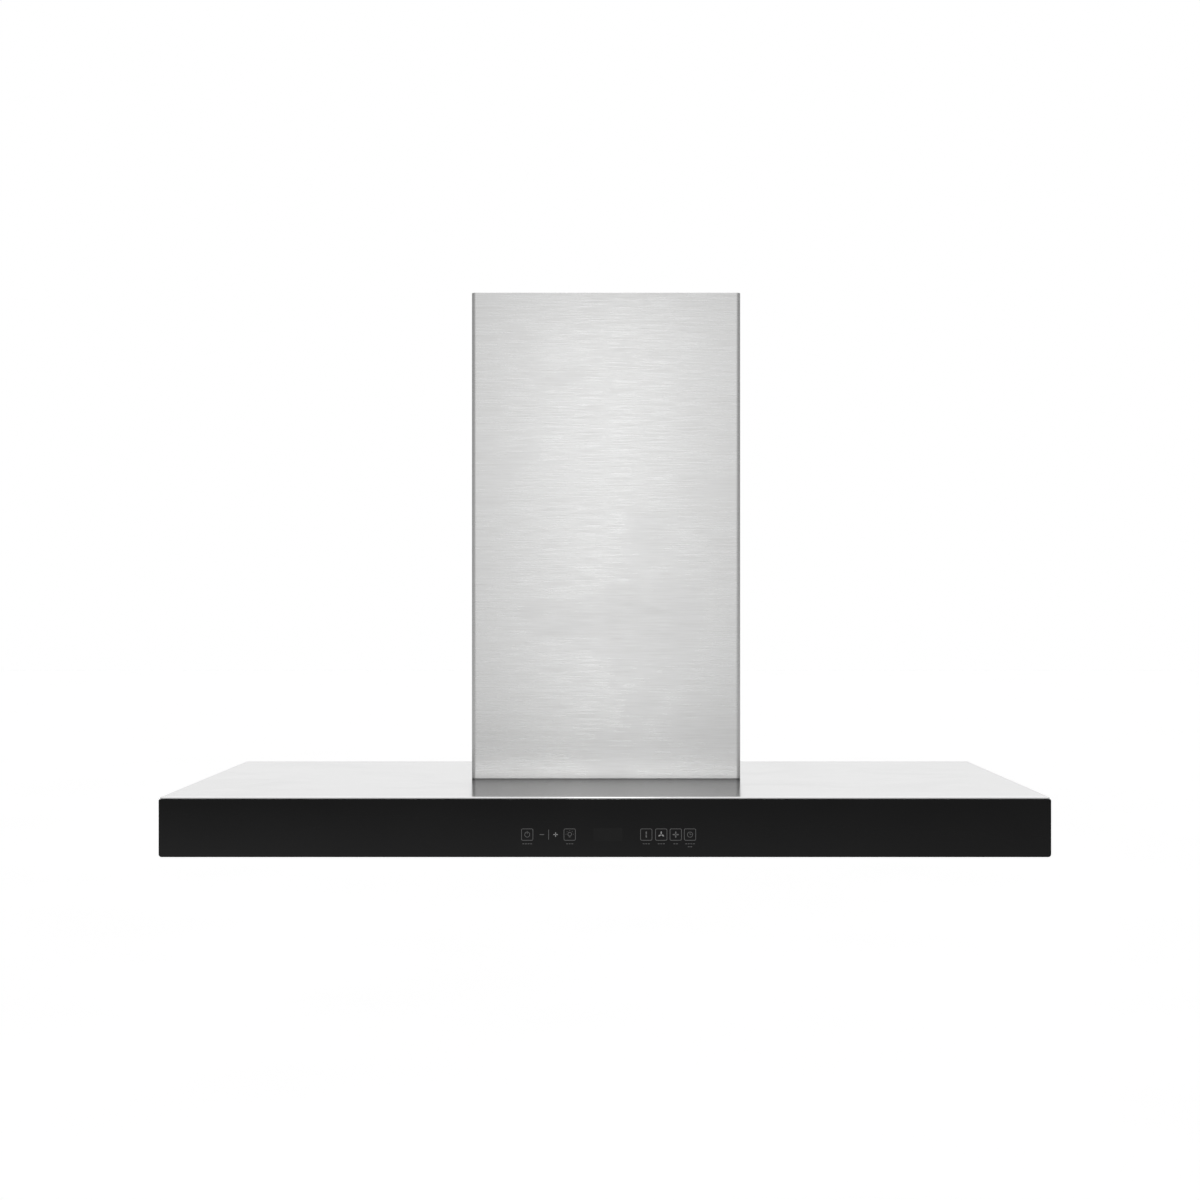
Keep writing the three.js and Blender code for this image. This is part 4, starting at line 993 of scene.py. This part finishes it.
def fan_sign(bm, x, z, blades, reach=0.0030):
    for blade in range(blades):
        angle = math.tau * blade / blades + math.radians(90)
        middle = reach * 0.55
        flat_disc(bm, x + middle * math.cos(angle), z + middle * math.sin(angle), middle, 0.42, angle, 16)
    flat_disc(bm, x, z, 0.0007, segments=12)


def clock_sign(bm, x, z):
    hollow_out(bm, flat_disc(bm, x, z, SIGN_RADIUS))
    flat_box(bm, x, z + 0.0009, LINE, 0.0019)
    flat_box(bm, x + 0.0007, z, 0.0015, LINE)


def key_label(bm, x, z, dashes):
    """Short dashes in place of a word."""
    for index in range(dashes):
        flat_box(bm, x + (index - (dashes - 1) / 2) * DASH_PITCH, z, *DASH_SIZE)


# %% Touch marks
MARK_MIDDLE = box_middle("display_module").z
LABEL_DROP = 0.0093
LABEL_LINE = 0.0030
SIGN_LENGTH = 0.0044
DIVIDER_HEIGHT = 0.0100
places = {
    "power": -0.0783, "minus": -0.0635, "divider": -0.0567, "plus": -0.0497, "lamp": -0.0355,
    "low": 0.0417, "high": 0.0568, "boost": 0.0714, "timer": 0.0858,
}
dashes_under = {"power": 4, "lamp": 3, "low": 3, "high": 3, "boost": 2, "timer": 4}


def touch_marks():
    bm = bmesh.new()
    for key in dashes_under:
        key_frame(bm, places[key], MARK_MIDDLE)
    power_sign(bm, places["power"], MARK_MIDDLE)
    lamp_sign(bm, places["lamp"], MARK_MIDDLE)
    fan_sign(bm, places["low"], MARK_MIDDLE, 2)
    fan_sign(bm, places["boost"], MARK_MIDDLE, 4)
    clock_sign(bm, places["timer"], MARK_MIDDLE)
    flat_box(bm, places["minus"], MARK_MIDDLE, SIGN_LENGTH, 0.0007)
    flat_box(bm, places["divider"], MARK_MIDDLE, LINE, DIVIDER_HEIGHT)
    for key, dashes in dashes_under.items():
        key_label(bm, places[key], MARK_MIDDLE - LABEL_DROP, dashes)
    key_label(bm, places["timer"], MARK_MIDDLE - LABEL_DROP - LABEL_LINE, 2)
    return bm


def bright_marks():
    bm = bmesh.new()
    flat_box(bm, places["plus"], MARK_MIDDLE, SIGN_LENGTH, 0.0008)
    flat_box(bm, places["plus"], MARK_MIDDLE, 0.0008, SIGN_LENGTH)
    fan_sign(bm, places["high"], MARK_MIDDLE, 3)
    return bm


def display_window():
    low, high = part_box("display_module")
    bm = bmesh.new()
    flat_box(bm, (low.x + high.x) / 2, MARK_MIDDLE, high.x - low.x, high.z - low.z)
    return bm


def print_on_glass(bm, name, finish):
    """Raises flat marks off the pane by their thickness of ink."""
    bmesh.ops.recalc_face_normals(bm, faces=bm.faces)
    for face in bm.faces:
        if face.normal.y > 0:
            face.normal_flip()
    raised = bmesh.ops.extrude_face_region(bm, geom=bm.faces[:])
    bmesh.ops.translate(bm, verts=new_verts(raised), vec=(0, -PRINT_HEIGHT, 0))
    return make_piece(bm, name, "front_glass", finish=finish, stands_for=False, smooth_angle=20)


print_on_glass(display_window(), "display_window", window_tint)
print_on_glass(touch_marks(), "touch_marks", ink)
print_on_glass(bright_marks(), "touch_marks_lit", bright_ink)
print("marks at height", round(MARK_MIDDLE, 4))

# %% [markdown]
# ## Softer edges for the inner parts
#
# A CAD solid has perfectly sharp edges, which no folded or moulded part has. For the parts whose
# shape is already right, a copy of the node is merged, its flat faces are made whole, and each
# sharp edge gets a small bevel. The copy stands for the node.

# %% Softened copies
def merged_copy(node):
    """A CAD node's mesh with its loose triangles joined at their points."""
    bm = bmesh.new()
    bm.from_mesh(frame["nodes"][node].data)
    bmesh.ops.remove_doubles(bm, verts=bm.verts, dist=1e-6)
    return bm


def softened_copy(node, radius):
    bm = merged_copy(node)
    bmesh.ops.dissolve_limit(bm, angle_limit=math.radians(1), verts=bm.verts, edges=bm.edges)
    edges = [
        edge for edge in bm.edges
        if edge.is_manifold and edge.calc_face_angle() > math.radians(40)
    ]
    bevel_edges(bm, edges, radius, segments=2)
    return make_piece(bm, "soft_" + node, node)


SOFT_EDGES = {
    "motor_box": 0.0004, "wall_hook_left": 0.0005, "wall_hook_right": 0.0005, "cover_bracket": 0.0003,
    "chimney_clip_left": 0.0004, "chimney_clip_right": 0.0004, "bottom_panel": 0.0003,
    "motor_bracket": 0.0004, "motor_case": 0.0012, "run_capacitor": 0.0012,
    "terminal_box": 0.0008, "cord_gland": 0.0006, "control_box": 0.0008, "control_box_lid": 0.0006,
    "touch_carrier": 0.0004, "damper_flap_front": 0.0002, "damper_flap_rear": 0.0002, "hub_nut": 0.0004,
    "lamp_left_body": 0.0008, "lamp_right_body": 0.0008, "display_module": 0.0003,
    "scroll_band": 0.0002, "inlet_ring_left": 0.0003, "inlet_ring_right": 0.0003,
}
for node, radius in SOFT_EDGES.items():
    softened_copy(node, radius)
print("softened:", len(SOFT_EDGES))

# %% [markdown]
# **Leads.** A lead is a round, soft thing, but its CAD solid has eight flat sides. Its triangles are
# joined to quads again, and a Subdivision modifier rounds the section and evens out the bends.

# %% Round leads
LEADS = ("supply_lead", "motor_lead", "lamp_lead_left", "lamp_lead_right", "touch_lead")


def round_lead(node):
    bm = merged_copy(node)
    bmesh.ops.join_triangles(
        bm, faces=bm.faces[:], cmp_seam=False, cmp_sharp=False, cmp_uvs=False, cmp_vcols=False,
        cmp_materials=False, angle_face_threshold=math.radians(30),
        angle_shape_threshold=math.radians(130),
    )
    lead = make_piece(bm, "round_" + node, node, smooth_angle=60)
    rounding = lead.modifiers.new("round section", "SUBSURF")
    rounding.levels = rounding.render_levels = 2
    lead.modifiers.move(1, 0)
    return lead


for node in LEADS:
    round_lead(node)
print("leads:", len(LEADS))

# %% [markdown]
# ## Turned pieces
#
# Lamp bezels, the duct collar and screw heads are round. Each is a half profile spun through a full
# turn. Doubles are merged where the turn closes, and the normals are made to point outwards.

# %% Spin a profile
def spun(profile, centre, axis="Z", steps=64, closed=True):
    """Spins [radius, height] points about an axis through the centre. Heights run along the axis."""
    bm = bmesh.new()
    verts = [bm.verts.new((radius, 0, height)) for radius, height in profile]
    pairs = list(zip(verts, verts[1:]))
    if closed:
        pairs.append((verts[-1], verts[0]))
    edges = [bm.edges.new(pair) for pair in pairs]
    bmesh.ops.spin(
        bm, geom=verts + edges, cent=(0, 0, 0), axis=(0, 0, 1), angle=math.tau, steps=steps, use_merge=True,
    )
    bmesh.ops.remove_doubles(bm, verts=bm.verts, dist=1e-6)
    bmesh.ops.recalc_face_normals(bm, faces=bm.faces)
    turns = {"Z": Matrix.Identity(4), "X": Matrix.Rotation(math.radians(90), 4, "Y")}
    bmesh.ops.transform(bm, matrix=Matrix.Translation(centre) @ turns[axis], verts=bm.verts)
    return bm


# %% [markdown]
# **Duct collar.** The collar's wall carries a raised bead that grips the duct, a rolled upper edge
# and a flange that is screwed to the motor box. Inside, a ledge stops the dampers.

# %% Duct collar
COLLAR_FLANGE = 0.0015
COLLAR_WALL = 0.0015
BEAD_HEIGHT = 0.0006
STOP_LEDGE = 0.004
FLAP_GAP = 0.0003


def duct_collar():
    low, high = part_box("duct_collar")
    pin = box_middle("damper_pin")
    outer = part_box("damper_pin")[1].x
    inner = outer - COLLAR_WALL
    bead = outer + BEAD_HEIGHT
    flange = high.x
    flange_top = low.z + COLLAR_FLANGE
    stop = inner - STOP_LEDGE
    stop_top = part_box("damper_flap_front")[0].z - FLAP_GAP
    profile = [
        (stop, low.z), (flange - 0.0004, low.z), (flange, low.z + 0.0004), (flange, low.z + 0.0011),
        (flange - 0.0004, flange_top), (outer + 0.0010, flange_top), (outer, low.z + 0.0025),
        (outer, high.z - 0.0135), (bead, high.z - 0.0125), (bead, high.z - 0.0105),
        (outer, high.z - 0.0095), (outer, high.z - 0.0006), (outer - 0.0005, high.z),
        (inner + 0.0004, high.z), (inner, high.z - 0.0005),
        (inner, stop_top + 0.0006), (inner - 0.0006, stop_top), (stop, stop_top),
    ]
    return spun(profile, (pin.x, pin.y, 0), steps=96)


make_piece(duct_collar(), "collar_with_bead", "duct_collar")

# %% [markdown]
# **Lamps.** A polished bezel holds a frosted glass that is slightly domed.

# %% Lamps
LENS_GAP = 0.0003
LIP_HEIGHT = 0.0015
LENS_CROWN = 0.0012
LENS_STEPS = 8


def lamp_bezel(side_name):
    node = f"lamp_{side_name}_bezel"
    low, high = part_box(node)
    middle = box_middle(node)
    lip = half_width(node)
    lens = half_width(f"lamp_{side_name}_lens") + LENS_GAP
    neck = half_width(f"lamp_{side_name}_body")
    lip_top = low.z + LIP_HEIGHT
    profile = [
        (lens, low.z + 0.0010), (lens + 0.0012, low.z), (lip - 0.0014, low.z), (lip - 0.0004, low.z + 0.0003),
        (lip, low.z + 0.0010), (lip, lip_top), (neck, lip_top), (neck, high.z), (lens, high.z),
    ]
    return spun(profile, (middle.x, middle.y, 0))


def lamp_lens(side_name):
    node = f"lamp_{side_name}_lens"
    low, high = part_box(node)
    middle = box_middle(node)
    radius = half_width(node)
    turns = [step / LENS_STEPS * math.pi / 2 for step in range(LENS_STEPS + 1)]
    dome = [(radius * math.sin(turn), low.z + LENS_CROWN * (1 - math.cos(turn))) for turn in turns]
    profile = [*dome, (radius, high.z), (0, high.z)]
    return spun(profile, (middle.x, middle.y, 0), closed=False)


for side_name in ("left", "right"):
    make_piece(lamp_bezel(side_name), f"lamp_bezel_{side_name}", f"lamp_{side_name}_bezel", smooth_angle=30)
    make_piece(lamp_lens(side_name), f"lamp_lens_{side_name}", f"lamp_{side_name}_lens", smooth_angle=30)

# %% [markdown]
# **Screws.** The head is a low dome with a hexagonal socket. The socket starts as a round inset
# whose points are pulled onto a hexagon, and is then pushed in.

# %% Screws with a socket
SOCKET_SIZE = 0.0015
SOCKET_DEPTH = 0.0009
SCREW_HEAD_HEIGHT = 0.0016
SHANK_RADIUS = 0.0019


def socket_screw(head_radius, head_height, shank_radius, shank_length):
    """A screw along +Z, whose head stands on the plane Z = 0."""
    bm = bmesh.new()
    bmesh.ops.create_cone(
        bm, cap_ends=True, segments=36, radius1=head_radius, radius2=head_radius,
        depth=head_height, matrix=Matrix.Translation((0, 0, head_height / 2)),
    )
    rim = [edge for edge in bm.edges if all(vert.co.z > head_height * 0.9 for vert in edge.verts)]
    bevel_edges(bm, rim, head_height * 0.6, segments=5)
    top = max(bm.faces, key=lambda face: face.calc_center_median().z * len(face.verts))
    bmesh.ops.inset_individual(bm, faces=[top], thickness=head_radius * 0.25, depth=0)
    for vert in top.verts:
        angle = math.atan2(vert.co.y, vert.co.x)
        reach = SOCKET_SIZE / math.cos((angle % math.radians(60)) - math.radians(30))
        vert.co.x, vert.co.y = reach * math.cos(angle), reach * math.sin(angle)
    pushed = bmesh.ops.extrude_face_region(bm, geom=[top])
    bmesh.ops.translate(bm, verts=new_verts(pushed), vec=(0, 0, -SOCKET_DEPTH))
    bmesh.ops.delete(bm, geom=[top], context="FACES_ONLY")
    bmesh.ops.create_cone(
        bm, cap_ends=True, segments=16, radius1=shank_radius * 0.6, radius2=shank_radius,
        depth=shank_length, matrix=Matrix.Translation((0, 0, -shank_length / 2)),
    )
    bmesh.ops.recalc_face_normals(bm, faces=bm.faces)
    return bm


for side_name, side in (("left", -1), ("right", 1)):
    node = f"chimney_screw_{side_name}"
    low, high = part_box(node)
    middle = box_middle(node)
    outside, inside = (high.x, low.x) if side > 0 else (low.x, high.x)
    foot = outside - side * SCREW_HEAD_HEIGHT
    bm = socket_screw((high.z - low.z) / 2, SCREW_HEAD_HEIGHT, SHANK_RADIUS, abs(foot - inside))
    turn = Matrix.Rotation(math.radians(90 * side), 4, "Y")
    bmesh.ops.transform(bm, matrix=Matrix.Translation((foot, middle.y, middle.z)) @ turn, verts=bm.verts)
    make_piece(bm, f"cover_screw_{side_name}", node, smooth_angle=30)
print("turned pieces made")

# %% [markdown]
# **Motor box.** The box is folded from one sheet and closed by a rear panel. The panel's rim lies
# over the box and is held by self-cutting screws with a hexagonal head and a broad washer. The same
# screws hold the box's lid and the flange of the duct collar.

# %% Rim and screws of the motor box
RIM_WIDTH = 0.015
RIM_SHEET = 0.0008
RIM_SCREWS = 5
WASHER_RADIUS = 0.0042
WASHER_HEIGHT = 0.0007
HEAD_RADIUS = 0.0030
HEAD_HEIGHT = 0.0016
COLLAR_SCREWS = 4


def hexagon_screw(bm, place):
    """A hexagon head with its washer, on the plane Z = 0 of a placing matrix."""
    bmesh.ops.create_cone(
        bm, cap_ends=True, segments=20, radius1=WASHER_RADIUS, radius2=WASHER_RADIUS * 0.85,
        depth=WASHER_HEIGHT, matrix=place @ Matrix.Translation((0, 0, WASHER_HEIGHT / 2)),
    )
    head = bmesh.ops.create_cone(
        bm, cap_ends=True, segments=6, radius1=HEAD_RADIUS, radius2=HEAD_RADIUS * 0.95,
        depth=HEAD_HEIGHT, matrix=place @ Matrix.Translation((0, 0, WASHER_HEIGHT + HEAD_HEIGHT / 2)),
    )["verts"]
    bevel_edges(bm, edges_of(head), 0.0003, segments=2)


def box_rim(low, high):
    """The rim of the rear panel along both sides and the foot."""
    bm = bmesh.new()
    rear = high.y
    outsides = (
        (low.x, low.x + RIM_WIDTH, high.z - RIM_SHEET),
        (high.x - RIM_WIDTH, high.x, high.z - RIM_SHEET),
        (low.x + RIM_WIDTH, high.x - RIM_WIDTH, low.z + RIM_WIDTH),
    )
    for left, right, top in outsides:
        strip = add_box(bm, (left, rear, low.z), (right, rear + RIM_SHEET, top))
        upright = [edge for edge in edges_of(strip) if runs_along(edge, 2)]
        bevel_edges(bm, upright, RIM_SHEET / 3, segments=2)
    return bm


def box_screws(low, high):
    bm = bmesh.new()
    inset = RIM_WIDTH / 2
    rear = Matrix.Rotation(math.radians(-90), 4, "X")
    for x in (low.x + inset, high.x - inset):
        for index in range(RIM_SCREWS):
            z = low.z + inset + index * (high.z - low.z - 2 * inset) / (RIM_SCREWS - 1)
            hexagon_screw(bm, Matrix.Translation((x, high.y + RIM_SHEET, z)) @ rear)
        for y in (high.y - inset, (low.y + high.y) / 2):
            hexagon_screw(bm, Matrix.Translation((x, y, high.z)))
    collar_low, collar_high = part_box("duct_collar")
    middle = box_middle("duct_collar")
    ring = (collar_high.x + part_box("damper_pin")[1].x) / 2
    for index in range(COLLAR_SCREWS):
        angle = math.tau * (index + 0.5) / COLLAR_SCREWS
        x, y = middle.x + ring * math.cos(angle), middle.y + ring * math.sin(angle)
        hexagon_screw(bm, Matrix.Translation((x, y, collar_low.z + COLLAR_FLANGE)))
    return bm


box_low, box_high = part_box("motor_box")
make_piece(box_rim(box_low, box_high), "motor_box_rim", "motor_box", stands_for=False)
make_piece(
    box_screws(box_low, box_high), "motor_box_screws", "motor_box",
    finish=finishes["polished_steel"], stands_for=False,
)
print("motor box fittings made")

# %% [markdown]
# ## Baffle filters
#
# A baffle filter is a folded frame with two rows of channels. Smoke has to turn round the channels,
# and its grease stays on them. The lower row opens upwards, and the upper row, turned over, covers
# the gaps between them. The frame's corners are mitred, and two rivets hold each corner.

# %% Filter measures
FRAME_BORDER = 0.018
CHANNEL_WIDTH = 0.015
CHANNEL_GAP = 0.009
CHANNEL_HEIGHT = 0.0036
CHANNEL_SHEET = 0.0008
CHANNEL_BEND = 0.0010
FRAME_SHEET = 0.0012
TAB_SIZE = (0.024, 0.009, 0.002)    # width, reach past the frame's back, and thickness
TAB_HEIGHT = 0.0013
LATCH_POCKET = (0.0406, 0.0133, 0.0043)    # width, depth and height
POCKET_MARGIN = 0.0016
RIVET_RADIUS = 0.0024
RIVET_SHIFT = 0.012    # from the middle of a corner, along both sides


# %% One folded channel
def add_channel(bm, x, ends, base, opens_up):
    """A trough along Y with bent corners, drawn as the middle of its sheet."""
    half = (CHANNEL_WIDTH - CHANNEL_SHEET) / 2
    up = 1 if opens_up else -1
    floor = base + CHANNEL_SHEET / 2 if opens_up else base + CHANNEL_HEIGHT - CHANNEL_SHEET / 2
    lip = floor + up * (CHANNEL_HEIGHT - CHANNEL_SHEET)
    outline = [(x - half, lip), (x - half, floor), (x + half, floor), (x + half, lip)]
    verts = [bm.verts.new((px, ends[0], pz)) for px, pz in outline]
    edges = [bm.edges.new(pair) for pair in zip(verts, verts[1:])]
    drawn = bmesh.ops.extrude_edge_only(bm, edges=edges)
    bmesh.ops.translate(bm, verts=new_verts(drawn), vec=(0, ends[1] - ends[0], 0))
    bevel_edges(bm, [edge for edge in edges_of(verts[1:3]) if runs_along(edge, 1)], CHANNEL_BEND)


def filter_channels(node):
    low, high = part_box(node)
    frame_back = high.y - TAB_SIZE[1]
    ends = (low.y + FRAME_BORDER - 0.001, frame_back - FRAME_BORDER + 0.001)
    middle = (low.x + high.x) / 2
    pitch = CHANNEL_WIDTH + CHANNEL_GAP
    upper_count = int((high.x - low.x - 2 * FRAME_BORDER + CHANNEL_GAP) / pitch)
    bm = bmesh.new()
    for count, base, opens_up in (
        (upper_count - 1, low.z + 0.001, True),
        (upper_count, high.z - 0.001 - CHANNEL_HEIGHT, False),
    ):
        for index in range(count):
            add_channel(bm, middle + (index - (count - 1) / 2) * pitch, ends, base, opens_up)
    return bm


# %% The folded frame with its mitres, tabs and rivets
def filter_frame(node):
    low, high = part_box(node)
    back = high.y - TAB_SIZE[1]
    sheet = FRAME_SHEET
    middle = (low.x + high.x) / 2
    bm = bmesh.new()
    ring = bmesh.ops.create_grid(bm, x_segments=1, y_segments=1, size=0.5)["verts"]
    size = Matrix.Diagonal((high.x - low.x - sheet, back - low.y - sheet, 1, 1))
    place = Matrix.Translation((middle, (low.y + back) / 2, low.z + sheet / 2))
    bmesh.ops.transform(bm, matrix=place @ size, verts=ring)
    bm.faces.ensure_lookup_table()
    plate = bm.faces[0]
    bmesh.ops.inset_individual(bm, faces=[plate], thickness=FRAME_BORDER - sheet, depth=0)
    bmesh.ops.delete(bm, geom=[plate], context="FACES_ONLY")
    rims = [edge for edge in bm.edges if len(edge.link_faces) == 1]
    raised = bmesh.ops.extrude_edge_only(bm, edges=rims)
    bmesh.ops.translate(bm, verts=new_verts(raised), vec=(0, 0, high.z - low.z - 1.5 * sheet))
    folds = [
        edge for edge in bm.edges
        if len(edge.link_faces) == 2 and edge.calc_face_angle() > SHARP_FOLD and not runs_along(edge, 2)
    ]
    bevel_edges(bm, folds, CHANNEL_BEND)

    pocket_width, pocket_depth, pocket_height = LATCH_POCKET
    left, right = middle - pocket_width / 2, middle + pocket_width / 2
    for axis, front_limit, start, reach in (
        (2, low.y + FRAME_BORDER, low.y, pocket_depth),
        (1, low.y + sheet, low.z, pocket_height),
    ):
        faces = [
            face for face in bm.faces
            if abs(face.normal[axis]) > 0.99 and face.calc_center_median().y < front_limit
        ]
        cut_window(bm, faces, (0, 3 - axis), (left, start + POCKET_MARGIN), (right, start + reach))
    bmesh.ops.recalc_face_normals(bm, faces=bm.faces)
    return bm


def filter_fittings(node):
    """Rear tabs, and domed rivets at the mitred corners."""
    low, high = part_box(node)
    tab_width, tab_reach, tab_thickness = TAB_SIZE
    back = high.y - tab_reach
    middle = (low.x + high.x) / 2
    quarter = (high.x - low.x) / 4
    tab_foot = low.z + TAB_HEIGHT
    bm = bmesh.new()
    for side in (-1, 1):
        left = middle + side * quarter - tab_width / 2
        corner = (left + tab_width, high.y, tab_foot + tab_thickness)
        add_box(bm, (left, back - 0.001, tab_foot), corner)
    bevel_edges(bm, [edge for edge in bm.edges if edge.calc_face_angle(0) > 1], 0.0003, segments=2)
    for x in (low.x + FRAME_BORDER / 2, high.x - FRAME_BORDER / 2):
        for y in (low.y + FRAME_BORDER / 2, back - FRAME_BORDER / 2):
            for shift_x, shift_y in ((RIVET_SHIFT, 0), (0, RIVET_SHIFT)):
                toward_x = math.copysign(shift_x, middle - x)
                toward_y = math.copysign(shift_y, (low.y + back) / 2 - y)
                place = Matrix.Translation((x + toward_x, y + toward_y, low.z + 0.0001))
                dome = place @ Matrix.Diagonal((1, 1, 0.25, 1))
                bmesh.ops.create_uvsphere(bm, u_segments=16, v_segments=8, radius=RIVET_RADIUS, matrix=dome)
    return bm


for name in ("left", "middle", "right"):
    node = f"filter_{name}"
    make_piece(filter_frame(node), f"filter_frame_{name}", node, FRAME_SHEET)
    make_piece(filter_channels(node), f"filter_channels_{name}", node, CHANNEL_SHEET, stands_for=False)
    make_piece(
        filter_fittings(node), f"filter_fittings_{name}", node,
        finish=finishes["polished_steel"], stands_for=False,
    )

# %% [markdown]
# **Latches.** Each filter has a sliding bolt in a pocket of its front edge. A ribbed ridge gives the
# finger something to pull.

# %% Latches
RIB_COUNT = 7
RIB_HALF_WIDTH = 0.0009
RIDGE_HEIGHT = 0.0018


def latch(node):
    low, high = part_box(node)
    plate_bottom = low.z + RIDGE_HEIGHT
    middle = (low.x + high.x) / 2
    bm = bmesh.new()
    add_box(bm, (low.x, low.y, plate_bottom), high)
    bevel_edges(bm, bm.edges[:], 0.0005, segments=2)
    pitch = (high.x - low.x) / 2 / RIB_COUNT
    for index in range(RIB_COUNT):
        x = middle + (index - (RIB_COUNT - 1) / 2) * pitch
        rib_corner = (x + RIB_HALF_WIDTH, low.y + 0.005, plate_bottom + 0.0003)
        rib = add_box(bm, (x - RIB_HALF_WIDTH, low.y + 0.002, low.z), rib_corner)
        bevel_edges(bm, edges_of(rib), 0.0004, segments=2)
    return bm


for name in ("left", "middle", "right"):
    make_piece(latch(f"filter_{name}_latch"), f"latch_{name}", f"filter_{name}_latch")
print("filters and latches made")
